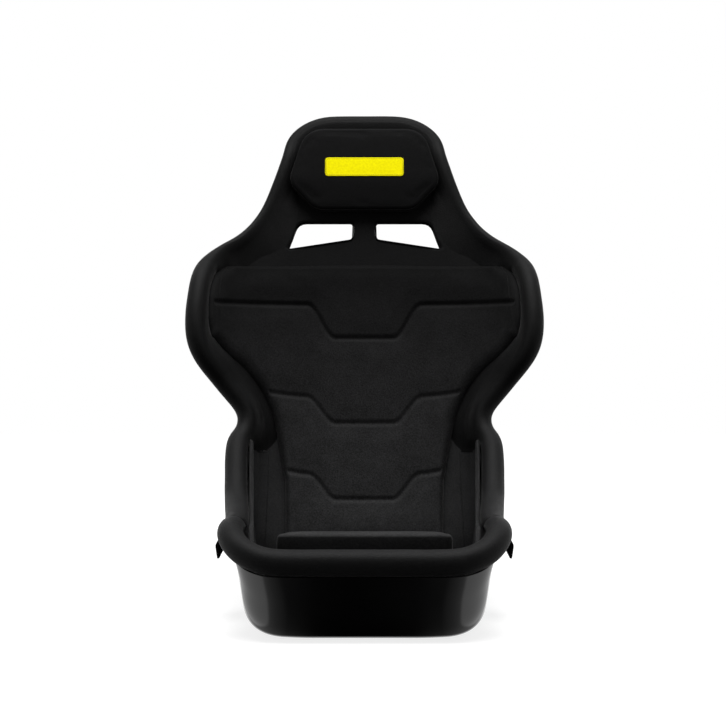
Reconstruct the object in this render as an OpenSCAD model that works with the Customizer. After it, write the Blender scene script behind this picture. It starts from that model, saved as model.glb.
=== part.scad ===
// Fixed-back racing bucket seat: moulded shell, padded edge, fabric liners and loose cushions.
// Millimetres. The seat faces -Y, +Z is up. The origin is on the underside, at the centre of the base bolts.

/* [Shell] */
// Thickness of the moulded laminate
laminate = 4.5; // [3:0.5:7]
// Front face of the tub
front_y = -185; // [-215:1:-170]
// Height of the shell's front lip
front_lip_z = 95; // [75:1:115]
// Height of the shell's top edge
head_z = 803; // [780:1:835]
// Angle of the back from upright
recline = 14.7; // [10:0.1:20]
// Where the back line leaves the floor bend
back_foot_y = 195; // [180:1:210]
// Half width of the tub where it rests
tub_half = 168; // [160:1:185]
// Half width across the hips at the shell's edge
hip_half = 206; // [198:1:218]
// Half width across the waist at the shell's edge
waist_half = 192; // [182:1:204]
// Half width across the shoulder wings at the shell's edge
shoulder_half = 269; // [250:1:285]
// Half width of the head part at the shell's edge
head_half = 128; // [115:1:140]
// Height of the hip edge
hip_z = 238; // [220:1:256]
// Height of the widest point of the wings
wing_z = 440; // [430:1:460]
// Foremost point of the wings' edge
wing_y = 156; // [130:1:180]

/* [Padded edge] */
// Radius of the front roll
front_roll_r = 19; // [16:0.5:22]
// Radius of the edge roll along the hips
hip_roll_r = 18; // [15:0.5:21]
// Radius of the edge roll round the wings
wing_roll_r = 16; // [13:0.5:19]
// Radius of the edge roll round the head
head_roll_r = 14; // [11:0.5:17]

/* [Belt slots] */
// Half width of the bridge between the shoulder belt slots
bridge_half = 20.5; // [16:0.5:28]
// Width of a shoulder belt slot along its lower edge
shoulder_slot = 111; // [90:1:120]
// Height of a shoulder belt slot at its outer end
shoulder_slot_rise = 50; // [36:1:56]
// Length of a lap belt slot
lap_slot = 72; // [56:1:84]
// Height of a lap belt slot
lap_slot_rise = 20; // [14:1:26]
// Width of the crotch belt slot
crotch_slot = 70; // [54:1:84]
// Wall of the slot trims
trim = 2.2; // [1.6:0.2:3]

/* [Upholstery] */
// Thickness of the fabric-covered foam liners
liner = 7; // [4:0.5:9]
// Thickness of the back cushion
back_pad = 17; // [12:0.5:24]
// Thickness of the headrest cushion
head_pad = 26; // [18:0.5:34]
// Thickness of the seat cushion
seat_pad = 48; // [36:1:60]
// Half width of the seat cushion's front
seat_half = 126; // [110:1:134]
// Height of the seat cushion's front edge
seat_front_z = 150; // [142:1:158]
// Fall of the seat cushion from front to rear, in degrees
seat_fall = 7.3; // [4:0.1:9]
// Thickness of the side cushions beside the roll
side_pad = 7; // [5:0.5:10]
// Depth of the side cushions below the shell's edge
side_pad_drop = 44; // [32:1:50]
// Half width of the patch on the headrest
patch_half = 68; // [50:1:78]
// Height of the patch on the headrest
patch_rise = 34; // [24:1:44]
// Depth of the sewn channels
channel_depth = 5.5; // [2:0.5:8]
// Half width of a sewn channel
channel_half = 7; // [5:0.5:10]
// Thickness of the hook strips behind the cushions
strip = 1.8; // [1.2:0.2:2.6]

/* [Base mounting] */
// Distance between the base inserts across the seat
bolt_x = 200; // [160:1:210]
// Distance between the base inserts from front to rear
bolt_y = 200; // [160:1:210]
// Radius of the tapped hole
bolt_hole_r = 3.4; // [2.5:0.1:4.2]
// Radius of the insert's body
insert_r = 8; // [7:0.5:10]
// Height of the inserts
insert_height = 20; // [14:1:24]
// Thickness of the steel base plates
base_plate = 3; // [2:0.5:5]

/* [Hidden] */
gap = 0.3;
liner_gap = 0.5;
floor_z = laminate / 2;
back_foot_z = 110;
flat_half = 70;
face = laminate / 2 + liner_gap + liner;
pad_gap = strip + 0.9;
roll_off = (face - laminate / 2) / 2;

// Point of the back line at height z
function back_line(z) = [back_foot_y + (z - back_foot_z) * tan(recline), z];

// One row a station, from the front lip to the top of the head: centre y and z, edge y and z,
// corner half width, edge half width, corner radius, crown, roll radius
function row(centre, edge, widths, corner, crown, roll) = [
    centre[0], centre[1], edge[0], edge[1], widths[0], widths[1], corner, crown, roll
];
foot = back_foot_y;
neck_z = head_z - 192;
function neck(t) = wing_z + (neck_z - wing_z) * t;
function rim(z, lead) = back_line(z) - [lead, 0];
stations = [
    row([front_y, front_lip_z], [front_y + 64, front_lip_z + 36], [tub_half + 6, tub_half + 23], 54, 2, front_roll_r),
    row([front_y + 1, front_lip_z - 36], [front_y + 93, front_lip_z + 38],
        [tub_half - 2, tub_half + 24], 54, 2, front_roll_r),
    row([front_y + 14, floor_z + 15], [front_y + 120, front_lip_z + 37],
        [tub_half - 4, tub_half + 24], 50, 5, hip_roll_r),
    row([front_y + 60, floor_z], [front_y + 155, front_lip_z + 42], [tub_half, tub_half + 24], 46, 8, hip_roll_r),
    row([front_y + 205, floor_z], [foot - 135, hip_z - 74], [tub_half + 8, hip_half - 5], 46, 8, hip_roll_r),
    row([foot - 35, floor_z], [foot - 77, hip_z - 29], [tub_half + 12, hip_half], 48, 8, hip_roll_r),
    row([foot - 3, floor_z + 24], [foot - 48, hip_z], [tub_half + 10, hip_half], 50, 6, hip_roll_r),
    row(back_line(100), [foot - 29, hip_z + 14], [tub_half + 7, hip_half - 3], 50, 5, hip_roll_r),
    row(back_line(195), [foot - 11, hip_z + 34], [tub_half + 4, waist_half], 48, 6, wing_roll_r),
    row(back_line(285), [foot + 7, wing_z - 127], [tub_half + 5, waist_half], 44, 8, wing_roll_r),
    row(back_line(370), [wing_y + 36, wing_z - 66], [tub_half + 24, shoulder_half - 37], 60, 12, wing_roll_r),
    row(back_line(neck(0.06)), [wing_y, wing_z - 11], [shoulder_half - 37, shoulder_half], 100, 18, wing_roll_r),
    row(back_line(neck(0.456)), [wing_y + 33, neck(0.398)], [shoulder_half - 29, shoulder_half + 1], 110, 18, wing_roll_r),
    row(back_line(neck(0.713)), [wing_y + 84, neck(0.62)], [shoulder_half - 42, shoulder_half - 12], 80, 14, wing_roll_r),
    row(back_line(neck(0.865)), rim(neck(0.778), 36), [shoulder_half - 67, shoulder_half - 39], 50, 10, wing_roll_r),
    row(back_line(neck_z), rim(neck_z - 14, 20), [head_half + 46, head_half + 68], 36, 7, wing_roll_r),
    row(back_line(neck_z + 30), rim(neck_z + 13, 10), [head_half + 26, head_half + 42], 30, 5, head_roll_r),
    row(back_line(neck_z + 80), rim(neck_z + 59, 6), [head_half + 5, head_half + 19], 28, 4, head_roll_r),
    row(back_line(head_z - 50), rim(head_z - 80, 5), [head_half - 12, head_half + 1], 30, 5, head_roll_r),
    row(back_line(head_z), rim(head_z - 50, 3), [head_half - 20, head_half - 9], 46, 9, head_roll_r)
];
last = len(stations) - 1;

// Smooth curve through the stations, never below the floor
function blend(a, b, c, d, t) =
    0.5 * (2 * b + (c - a) * t + (2 * a - 5 * b + 4 * c - d) * t * t + (3 * b - a - 3 * c + d) * t * t * t);
function station(u) =
    let (
        i = max(0, min(floor(u), last - 1)),
        s = blend(stations[max(i - 1, 0)], stations[i], stations[i + 1], stations[min(i + 2, last)], u - i)
    )
    [for (k = [0 : 8]) k == 1 ? max(floor_z, s[1]) : s[k]];

// Half section: crowned floor, soft corner, then the side wall. v runs 0 to 1.
function crown_at(s, x) = s[7] * pow(max(0, (x - flat_half) / (s[4] - flat_half)), 2);
function half_section(s, v) =
    let (
        reach = norm([s[2] - s[0], s[3] - s[1]]),
        corner = [s[4], s[7]],
        edge = [s[5], reach],
        start = [s[4] - s[6], crown_at(s, s[4] - s[6])],
        side = corner + (edge - corner) * min(s[6] / norm(edge - corner), 0.8),
        t = (v - 0.4) / 0.3
    )
    v < 0.4 ? [start[0] * v / 0.4, crown_at(s, start[0] * v / 0.4)] :
    v < 0.7 ? start * (1 - t) * (1 - t) + corner * 2 * t * (1 - t) + side * t * t :
    side + (edge - side) * (v - 0.7) / 0.3;

// Middle surface of the shell at station u and across position v (-1 to 1), and points off it
function skin(u, v) =
    let (
        s = station(u),
        p = half_section(s, abs(v)),
        dir = [s[2] - s[0], s[3] - s[1]] / norm([s[2] - s[0], s[3] - s[1]])
    )
    [sign(v) * p[0], s[0] + dir[0] * p[1], s[1] + dir[1] * p[1]];
function unit(a) = a / norm(a);
function inward(u, v) =
    let (a = max(0.4, min(u, last - 0.6)), b = max(-0.92, min(v, 0.92)))
    unit(cross(skin(a, b + 0.03) - skin(a, b - 0.03), skin(a + 0.06, b) - skin(a - 0.06, b)));
function off(u, v, d) = skin(u, v) + inward(u, v) * d;

// Closed solid between two point grids of the same size, with its triangles mirrored about the middle
function tiles(a, m, left) =
    left ? [[a, a + 1, a + m + 1], [a, a + m + 1, a + m]] : [[a, a + 1, a + m], [a + 1, a + m + 1, a + m]];
module slab(back, front) {
    n = len(back);
    m = len(back[0]);
    k = n * m;
    rim = concat(
        [for (j = [0 : m - 2]) j],
        [for (i = [0 : n - 2]) i * m + m - 1],
        [for (j = [m - 1 : -1 : 1]) (n - 1) * m + j],
        [for (i = [n - 1 : -1 : 1]) i * m]
    );
    faces = concat(
        [for (i = [0 : n - 2], j = [0 : m - 2]) each tiles(i * m + j, m, j < (m - 1) / 2)],
        [for (i = [0 : n - 2], j = [0 : m - 2]) for (f = tiles(k + i * m + j, m, j < (m - 1) / 2)) [f[2], f[1], f[0]]],
        [for (q = [0 : len(rim) - 1]) let (a = rim[q], b = rim[(q + 1) % len(rim)]) each [
            [a, k + a, k + b],
            [a, k + b, b]
        ]]
    );
    polyhedron(concat([for (r = back) each r], [for (r = front) each r]), faces);
}

// Closed solid through a stack of rings with the same number of points
module stack(rings) {
    n = len(rings);
    m = len(rings[0]);
    faces = concat(
        [[for (k = [0 : m - 1]) k]],
        [[for (k = [m - 1 : -1 : 0]) (n - 1) * m + k]],
        [for (i = [0 : n - 2], k = [0 : m - 1]) let (a = i * m + k, b = i * m + (k + 1) % m) each [
            [a, a + m, b + m],
            [a, b + m, b]
        ]]
    );
    polyhedron([for (r = rings) each r], faces);
}

// Outline with its corners eased: each corner is [x, y, easing]
function eased(c, steps = 4) = [
    for (i = [0 : len(c) - 1])
        let (
            p = [c[i][0], c[i][1]],
            a = [for (k = [0, 1]) c[(i + len(c) - 1) % len(c)][k]],
            b = [for (k = [0, 1]) c[(i + 1) % len(c)][k]],
            p0 = p + unit(a - p) * c[i][2],
            p1 = p + unit(b - p) * c[i][2]
        )
        for (k = [0 : steps]) let (t = k / steps) p0 * (1 - t) * (1 - t) + p * 2 * t * (1 - t) + p1 * t * t
];
function both_sides(c) = concat(c, [for (i = [len(c) - 1 : -1 : 0]) [-c[i][0], c[i][1], c[i][2]]]);

// Across positions shared by the shell and its liners
half_cols = [0, 0.2, 0.4, 0.46, 0.52, 0.58, 0.64, 0.7, 0.8, 0.9, 1];
cols = concat([for (k = [len(half_cols) - 1 : -1 : 1]) -half_cols[k]], half_cols);
rows = [for (i = [0 : 2 * last]) i / 2];

// Places on the leaning back: x across, y up the back, z out of its front
module on_back(z) {
    translate([0, back_line(z)[0], z])
    rotate([90 - recline, 0, 0])
    children();
}

// Shoulder belt slots
slot_z = neck_z + 4;
slot_top = 22.3;
module slot_outline(grow) {
    low = slot_top - shoulder_slot_rise;
    corners = [
        [bridge_half, slot_top, 5], [bridge_half + 93.5, slot_top, 14],
        [bridge_half + shoulder_slot, low, 5], [bridge_half + 1, low + 17.6, 5]
    ];
    offset(r = grow)
    polygon(eased(corners));
}
module slot_solid(grow, back, front) {
    on_back(slot_z)
    translate([0, 0, back])
    linear_extrude(front - back)
    slot_outline(grow);
}

// Lap belt slots, square to the side walls: x runs rearwards, y up the wall, z outwards
lap_u = 4.02;
lap_v = 0.8;
lap_out = -inward(lap_u, lap_v);
lap_along = unit([-lap_out[1], lap_out[0], 0]);
lap_up = cross(lap_out, lap_along);
module on_side() {
    at = skin(lap_u, lap_v);
    multmatrix([for (k = [0 : 2]) [lap_along[k], lap_up[k], lap_out[k], at[k]]])
    children();
}
module lap_solid(grow, inner, outer) {
    on_side()
    translate([0, 0, inner])
    hull()
    for (s = [-1, 1])
        translate([s * (lap_slot - lap_slot_rise) / 2, 0, 0])
        cylinder(h = outer - inner, r = lap_slot_rise / 2 + grow, $fn = 24);
}

// Crotch belt slot, straight down
crotch_y = front_y + 140;
crotch_depth = 26;
module crotch_solid(grow, low, high) {
    translate([0, crotch_y, low])
    hull()
    for (s = [-1, 1])
        translate([s * (crotch_slot - crotch_depth) / 2, 0, 0])
        cylinder(h = high - low, r = crotch_depth / 2 + grow, $fn = 24);
}

module at_bolts(z) {
    for (x = [-1, 1], y = [-1, 1])
        translate([x * bolt_x / 2, y * bolt_y / 2, z])
        children();
}

module shell() {
    color([0.02, 0.02, 0.02])
    difference() {
        slab(
            [for (u = rows) [for (v = cols) off(u, v, -laminate / 2)]],
            [for (u = rows) [for (v = cols) off(u, v, laminate / 2)]]
        );
        for (s = [0, 1])
            mirror([s, 0, 0]) {
                slot_solid(trim + gap, -30, 30);
                lap_solid(trim + gap, -20, 20);
            }
        crotch_solid(trim + gap, -10, 30);
        at_bolts(-10)
            cylinder(h = 40, r = insert_r + gap);
    }
}

// Seam between the back liner and the side liners, as a position across
function seam(u) = u < 8.4 ? 0.55 : min(1, 0.55 + 0.45 * (u - 8.4) / 1.6);
back_rows = concat([6.4], [for (i = [14 : 2 * last]) i / 2]);
module back_liner() {
    color([0.05, 0.05, 0.05])
    difference() {
        slab(
            [for (u = back_rows) [for (v = cols) off(u, v * seam(u), laminate / 2 + liner_gap)]],
            [for (u = back_rows) [for (v = cols) off(u, v * seam(u), face)]]
        );
        for (s = [0, 1])
            mirror([s, 0, 0])
            slot_solid(trim + gap, -30, 30);
    }
}

side_rows = concat([0.8], [for (i = [2 : 19]) i / 2]);
side_cols = [0, 0.16, 0.34, 0.5, 0.66, 0.83, 1];
function side_v(u, f) = seam(u) + 0.006 + (0.994 - seam(u)) * f;
module side_liner_right() {
    color([0.05, 0.05, 0.05])
    difference() {
        slab(
            [for (u = side_rows) [for (f = side_cols) off(u, side_v(u, f), laminate / 2 + liner_gap)]],
            [for (u = side_rows) [for (f = side_cols) off(u, side_v(u, f), face)]]
        );
        lap_solid(trim + gap, -20, 20);
    }
}
module side_liner_left() {
    mirror([1, 0, 0])
    side_liner_right();
}

// Edge of the shell as [u, v] pairs: half of the front, one side, half of the head
roll_split = 2;
front_edge = [for (v = [0, 0.2, 0.4, 0.46, 0.52, 0.58, 0.64, 0.7, 0.85]) [0, v]];
side_edge = [for (i = [0 : 3 * last]) [i / 3, 1]];
head_edge = [for (v = [0.85, 0.7, 0.64, 0.58, 0.52, 0.46, 0.4, 0.2, 0]) [last, v]];
half_edge = concat(front_edge, side_edge, head_edge);
split_k = len(front_edge) + 3 * roll_split;
function roll_frame(k) =
    let (
        a = half_edge[max(0, k - 1)],
        b = half_edge[min(len(half_edge) - 1, k + 1)],
        p = half_edge[k],
        t = unit(skin(b[0], b[1]) - skin(a[0], a[1])),
        n0 = inward(p[0], p[1]),
        n = unit(n0 - t * (n0 * t)),
        r = station(p[0])[8]
    )
    [skin(p[0], p[1]) + n * roll_off + cross(t, n) * sqrt(pow(r + gap, 2) - pow(roll_off, 2)), cross(t, n), n, r];
function soften(f) = [
    for (k = [0 : len(f) - 1])
        let (a = f[max(0, k - 1)], b = f[k], c = f[min(len(f) - 1, k + 1)])
        k == 0 || k == len(f) - 1 ? b :
        [(a[0] + 2 * b[0] + c[0]) / 4, unit(a[1] + 2 * b[1] + c[1]), unit(a[2] + 2 * b[2] + c[2]), b[3]]
];
half_frames = soften(soften([for (k = [0 : len(half_edge) - 1]) roll_frame(k)]));
function between(a, b, t) = [for (k = [0 : 3]) a[k] + (b[k] - a[k]) * t];
butt_frame = between(half_frames[split_k], half_frames[split_k + 1], 0.04);
function mirrored(f) = [for (k = [0 : 2]) [-f[k][0], f[k][1], f[k][2]]];
function roll_ring(f, r, flip, sides = 14) =
    let (g = flip ? mirrored(f) : f)
    [for (k = [0 : sides - 1]) g[0] + r * (cos(k * 360 / sides) * g[1] + sin(k * 360 / sides) * g[2])];

module front_roll() {
    n = split_k;
    function ease(k) = k > n - 3 ? [0.985, 0.93, 0.74][k - n + 2] : 1;
    color([0.06, 0.06, 0.06])
    stack(concat(
        [for (k = [n : -1 : 0]) roll_ring(half_frames[k], half_frames[k][3] * ease(k), false)],
        [for (k = [1 : n]) roll_ring(half_frames[k], half_frames[k][3] * ease(k), true)]
    ));
}

module edge_roll() {
    n = len(half_edge) - 1;
    color([0.06, 0.06, 0.06])
    stack(concat(
        [roll_ring(butt_frame, butt_frame[3] * 0.8, true)],
        [for (k = [split_k + 1 : n]) roll_ring(half_frames[k], half_frames[k][3], true)],
        [for (k = [n - 1 : -1 : split_k + 1]) roll_ring(half_frames[k], half_frames[k][3], false)],
        [roll_ring(butt_frame, butt_frame[3] * 0.8, false)]
    ));
}

// Back cushion: its rows follow the three chevron channels. Levels are [height at the sides, at the middle].
top_level = slot_z - 58;
channel_levels = [top_level - 65, top_level - 219, top_level - 347];
cushion_levels = [
    [112, 112],
    [channel_levels[2], channel_levels[2] - 45],
    [channel_levels[1], channel_levels[1] - 48],
    [channel_levels[0], channel_levels[0] - 60],
    [top_level, top_level]
];
cushion_reach = [
    [6, 0.4], [8, 0.43], [9, 0.49], [9.6, 0.55], [10.1, 0.63], [10.6, 0.75], [11, 0.85], [11.4, 0.92],
    [11.9, 0.96], [12.4, 0.97], [12.7, 0.965], [12.9, 0.93]
];
chevron_start = 0.18;
chevron_end = 0.285;
function smooth(t) = let (c = max(0, min(t, 1))) c * c * (3 - 2 * c);
function panel(a, b, n) = [
    for (k = [1 : n]) let (f = k / (n + 1)) [a[0] + (b[0] - a[0]) * f, a[1] + (b[1] - a[1]) * f, 1 + 0.09 * sin(180 * f)]
];
function channel(a) = [
    [a[0] - channel_half, a[1] - channel_half, 1],
    [a[0], a[1], 1 - channel_depth / back_pad],
    [a[0] + channel_half, a[1] + channel_half, 1]
];
function lift(a, d) = [a[0] + d, a[1] + d];
cushion_rows = concat(
    [[112, 112, 0.3], [115, 115, 0.8], [124, 124, 1]],
    panel([124, 124], lift(cushion_levels[1], -channel_half), 1),
    channel(cushion_levels[1]),
    panel(lift(cushion_levels[1], channel_half), lift(cushion_levels[2], -channel_half), 2),
    channel(cushion_levels[2]),
    panel(lift(cushion_levels[2], channel_half), lift(cushion_levels[3], -channel_half), 5),
    channel(cushion_levels[3]),
    panel(lift(cushion_levels[3], channel_half), lift(cushion_levels[4], -12), 1),
    [for (k = [0 : 2]) concat(lift(cushion_levels[4], [-12, -4, 0][k]), [[1, 0.8, 0.3][k]])]
);
function u_at(z) = lookup(z, [for (k = [5 : last]) [stations[k][1], k]]);
inner_v = [0, 0.06, 0.12, 0.18, 0.232, 0.285];
outer_f = [0.25, 0.5, 0.72, 0.9, 0.97, 1];
function cushion_half(r) =
    let (end = lookup(u_at(r[0]), cushion_reach), a = inner_v[5])
    concat([for (v = inner_v) [v, 1]], [for (f = outer_f) [a + (end - a) * f, f > 0.98 ? 0.3 : f > 0.95 ? 0.8 : 1]]);
function cushion_line(r, front) =
    let (half = cushion_half(r), n = len(half))
    [for (j = [1 - n : n - 1])
        let (
            c = half[abs(j)],
            z = r[1] + (r[0] - r[1]) * smooth((c[0] - chevron_start) / (chevron_end - chevron_start)),
            h = front ? min(r[2], c[1]) : 0
        )
        off(u_at(z), sign(j) * c[0], face + pad_gap + back_pad * h)];

module back_cushion() {
    color([0.08, 0.08, 0.08])
    slab([for (r = cushion_rows) cushion_line(r, false)], [for (r = cushion_rows) cushion_line(r, true)]);
}

// Headrest cushion, on the leaning back
head_pad_z = head_z - 73;
head_pad_corners = both_sides([[head_half - 43, -77, 6], [head_half + 3, -31, 8], [head_half - 27, 67, 26]]);
head_pad_rings = [
    [0.55, 0], [0.84, 5], [0.99, 11], [1, 17], [0.988, head_pad],
    [0.955, head_pad + 4], [0.7, head_pad + 5.2], [0.35, head_pad + 5.8]
];
module headrest_cushion() {
    color([0.06, 0.06, 0.06])
    on_back(head_pad_z)
    stack([for (r = head_pad_rings) [for (p = eased(head_pad_corners)) [p[0] * r[0], p[1] * r[0], face + pad_gap + r[1]]]]);
}

// Bare sewn patch on the headrest
module headrest_patch() {
    color([0.85, 0.78, 0.02])
    on_back(head_pad_z)
    translate([0, -7.5, face + pad_gap + head_pad + 6])
    linear_extrude(1.2)
    polygon(eased(both_sides([[patch_half, -patch_rise / 2, 5], [patch_half, patch_rise / 2, 5]])));
}

// Seat cushion and the foam riser under it
seat_front = front_y + 43;
seat_rear = back_foot_y - 39;
function seat_z(y) = seat_front_z - (y - seat_front - 7) * tan(seat_fall);
function seat_ring(inset, h) = [
    for (p = eased(both_sides([[seat_half - inset, seat_front + inset, 18], [seat_half + 6 - inset, seat_rear - inset, 14]])))
        [p[0], p[1], seat_z(p[1]) + h]
];
module seat_cushion() {
    color([0.08, 0.08, 0.08])
    difference() {
        stack([
            seat_ring(12, -seat_pad), seat_ring(3, 2.5 - seat_pad), seat_ring(0, 9 - seat_pad), seat_ring(0, -8),
            seat_ring(2.5, -2.5), seat_ring(8, -0.3), seat_ring(24, 1.2), seat_ring(60, 2.4)
        ]);
        crotch_solid(0, 60, 200);
    }
}

plate_z = laminate + 2.7;
riser_z = plate_z + base_plate + gap;
riser_half = seat_half - 9;
function riser_top(y) = seat_z(y) - seat_pad - pad_gap;
module seat_riser() {
    color([0.12, 0.12, 0.12])
    difference() {
        translate([-riser_half, 0, 0])
        rotate([90, 0, 90])
        linear_extrude(2 * riser_half)
        polygon([
            [seat_front + 8, riser_z], [seat_rear - 12, riser_z], [seat_rear - 6, riser_z + 8],
            [seat_rear - 6, riser_top(seat_rear - 6)], [seat_front + 8, riser_top(seat_front + 8)]
        ]);
        crotch_solid(trim + gap, 0, 150);
        at_bolts(0)
            cylinder(h = insert_height + 2, r = insert_r + 7);
    }
}

// Side cushions: a pad on the side liner whose top edge stands up beside the roll
function pad_point(u, a, n) =
    let (e = skin(u, 1), down = unit(skin(u, 0.9) - e))
    e + down * a + inward(u, 1) * n;
function pad_ring(u, k) =
    let (r = station(u)[8], up = sqrt(pow(r + gap, 2) - pow(roll_off, 2)), out = face + gap + 0.2, top = roll_off + r + 0.7)
    [for (p = [
        [side_pad_drop, out], [3, out], [-up * 0.5, top - 1], [-up, top], [-up - 2.5, top + side_pad * 0.3],
        [-up - 2.5, top + side_pad * 0.7], [-up, top + side_pad], [8, top + side_pad],
        [side_pad_drop - 12, top + side_pad - 2], [side_pad_drop - 3, out + 8], [side_pad_drop, out + 3]
    ]) pad_point(u, side_pad_drop / 2 + (p[0] - side_pad_drop / 2) * k, p[1])];
pad_stations = [for (k = [0 : 14]) 1 + k * 0.44];
module side_cushion_right() {
    n = len(pad_stations) - 1;
    color([0.08, 0.08, 0.08])
    stack([for (k = [0 : n]) pad_ring(pad_stations[k], k == 0 || k == n ? 0.8 : 1)]);
}
module side_cushion_left() {
    mirror([1, 0, 0])
    side_cushion_right();
}

module shoulder_slot_trim_right() {
    color([0.03, 0.03, 0.03])
    difference() {
        slot_solid(trim, -laminate / 2 - 1, face + 1.5);
        slot_solid(0, -30, 30);
    }
}
module shoulder_slot_trim_left() {
    mirror([1, 0, 0])
    shoulder_slot_trim_right();
}

// Lap belt guide: a sleeve through the wall, a flange outside it and a hood over the belt
hood_reach = 35;
hood_wall = 4;
hood_top = 37;
hood_drop = 26;
module wall_block(outside) {
    slab(
        [for (u = [2.5 : 0.5 : 5.5]) [for (v = [0.46, 0.52, 0.58, 0.64, 0.7, 0.8, 0.9, 1]) off(u, v, -outside)]],
        [for (u = [2.5 : 0.5 : 5.5]) [for (v = [0.46, 0.52, 0.58, 0.64, 0.7, 0.8, 0.9, 1]) off(u, v, 30)]]
    );
}
module lap_belt_guide_right() {
    out = laminate / 2 + gap;
    half = lap_slot / 2 + 10;
    color([0.03, 0.03, 0.03])
    difference() {
        union() {
            difference() {
                on_side() {
                    translate([0, 0, out - 6])
                    linear_extrude(9)
                    polygon(eased(both_sides([[half, -lap_slot_rise / 2 - 9, 8], [half, hood_top, 8]])));
                    translate([half - 2, 0, 0])
                    rotate([0, -90, 0])
                    linear_extrude(2 * half - 4)
                    polygon(eased([
                        [out + 1, hood_top, 0.1], [hood_reach, hood_top, 9],
                        [hood_reach, hood_top - hood_drop, 1.5], [hood_reach - hood_wall, hood_top - hood_drop, 1.5],
                        [hood_reach - hood_wall, hood_top - hood_wall, 5], [out + 1, hood_top - hood_wall, 0.1]
                    ]));
                }
                wall_block(out);
            }
            lap_solid(trim, -face - 1, out + 1);
        }
        lap_solid(0, -20, 10);
    }
}
module lap_belt_guide_left() {
    mirror([1, 0, 0])
    lap_belt_guide_right();
}

module crotch_slot_trim() {
    color([0.03, 0.03, 0.03])
    difference() {
        crotch_solid(trim, 0, riser_z);
        crotch_solid(0, -1, 30);
    }
}

// Steel plates spread the load of the base inserts
module base_plate_right() {
    color([0.1, 0.1, 0.1])
    difference() {
        translate([bolt_x / 2 - 16, -bolt_y / 2 - 24, plate_z])
        cube([32, bolt_y + 48, base_plate]);
        at_bolts(0)
            cylinder(h = 30, r = insert_r + gap);
    }
}
module base_plate_left() {
    mirror([1, 0, 0])
    base_plate_right();
}

module base_inserts() {
    color([0.6, 0.6, 0.62])
    at_bolts(0)
    difference() {
        union() {
            cylinder(h = insert_height, r = insert_r);
            translate([0, 0, plate_z + base_plate])
            cylinder(h = 3, r = insert_r + 4);
        }
        translate([0, 0, -1])
        cylinder(h = insert_height + 2, r = bolt_hole_r);
    }
}

// Hook strips that hold the cushions
module back_hook_strips() {
    color([0.04, 0.04, 0.04])
    for (s = [0, 1], u = [7.5, 9.1, 10.6])
        mirror([s, 0, 0])
        slab(
            [for (k = [0 : 2]) [for (v = [0.1, 0.18, 0.26, 0.34]) off(u + k * 0.15, v, face + 0.6)]],
            [for (k = [0 : 2]) [for (v = [0.1, 0.18, 0.26, 0.34]) off(u + k * 0.15, v, face + 0.6 + strip)]]
        );
}
module head_hook_strips() {
    color([0.04, 0.04, 0.04])
    on_back(head_pad_z)
    for (x = [-44, 14])
        translate([x, -48, face + 0.3])
        cube([30, 90, strip]);
}
module seat_hook_strips() {
    color([0.04, 0.04, 0.04])
    for (s = [-1, 1])
        translate([s * 70 - 12, -100, riser_top(-100) + 0.2])
        rotate([-seat_fall, 0, 0])
        cube([24, 220, strip]);
}

shell();
back_liner();
side_liner_right();
side_liner_left();
edge_roll();
front_roll();
back_cushion();
headrest_cushion();
headrest_patch();
seat_cushion();
seat_riser();
side_cushion_right();
side_cushion_left();
shoulder_slot_trim_right();
shoulder_slot_trim_left();
lap_belt_guide_right();
lap_belt_guide_left();
crotch_slot_trim();
base_plate_right();
base_plate_left();
base_inserts();
back_hook_strips();
head_hook_strips();
seat_hook_strips();
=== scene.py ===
import math
import bpy
import bmesh
import numpy as np
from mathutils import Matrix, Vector
from mathutils.bvhtree import BVHTree
from mathutils.kdtree import KDTree


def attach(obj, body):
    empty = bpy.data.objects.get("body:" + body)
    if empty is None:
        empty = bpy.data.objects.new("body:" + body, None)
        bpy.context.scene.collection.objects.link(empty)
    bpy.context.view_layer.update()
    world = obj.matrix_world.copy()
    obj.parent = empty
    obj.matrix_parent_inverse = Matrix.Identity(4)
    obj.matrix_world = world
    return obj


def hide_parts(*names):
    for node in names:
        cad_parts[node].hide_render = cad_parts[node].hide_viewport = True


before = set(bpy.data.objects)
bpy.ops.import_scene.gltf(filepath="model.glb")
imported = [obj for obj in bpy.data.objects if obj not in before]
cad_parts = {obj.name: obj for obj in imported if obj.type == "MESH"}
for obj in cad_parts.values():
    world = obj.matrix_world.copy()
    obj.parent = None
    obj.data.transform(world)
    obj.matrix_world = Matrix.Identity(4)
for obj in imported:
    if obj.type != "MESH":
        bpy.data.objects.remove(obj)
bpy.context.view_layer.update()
mm = 0.001
sides = ((1, "right"), (-1, "left"))
print("frame loaded")

# The seat's form, in millimetres, the same as its solids
seat = {
    "laminate": 4.5, "frontY": -185, "lipZ": 95, "headZ": 803, "recline": 14.7, "footY": 195,
    "tub": 168, "hip": 206, "waist": 192, "shoulder": 269, "head": 128,
    "hipZ": 238, "wingZ": 440, "wingY": 156,
    "frontRoll": 19, "hipRoll": 18, "wingRoll": 16, "headRoll": 14,
    "bridge": 20.5, "slot": 111, "slotRise": 50, "lapSlot": 72, "lapRise": 20, "crotchSlot": 70,
    "trim": 2.2, "liner": 7, "linerGap": 0.5, "backPad": 17, "headPad": 26, "seatPad": 48,
    "seatHalf": 126, "seatFrontZ": 150, "seatFall": 7.3, "sidePad": 7, "sideDrop": 44,
    "crotchRun": 140, "crotchWidth": 26, "strip": 1.8, "insert": 8, "bolt": 100, "gap": 0.3,
}
floorZ = seat["laminate"] / 2
# Height of the liners' fabric face above the shell's middle surface
face = seat["laminate"] / 2 + seat["linerGap"] + seat["liner"]
padGap = seat["strip"] + 0.9
rollOff = (face - seat["laminate"] / 2) / 2
tanRecline = math.tan(math.radians(seat["recline"]))


def backLine(z):
    return [seat["footY"] + (z - 110) * tanRecline, z]


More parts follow.
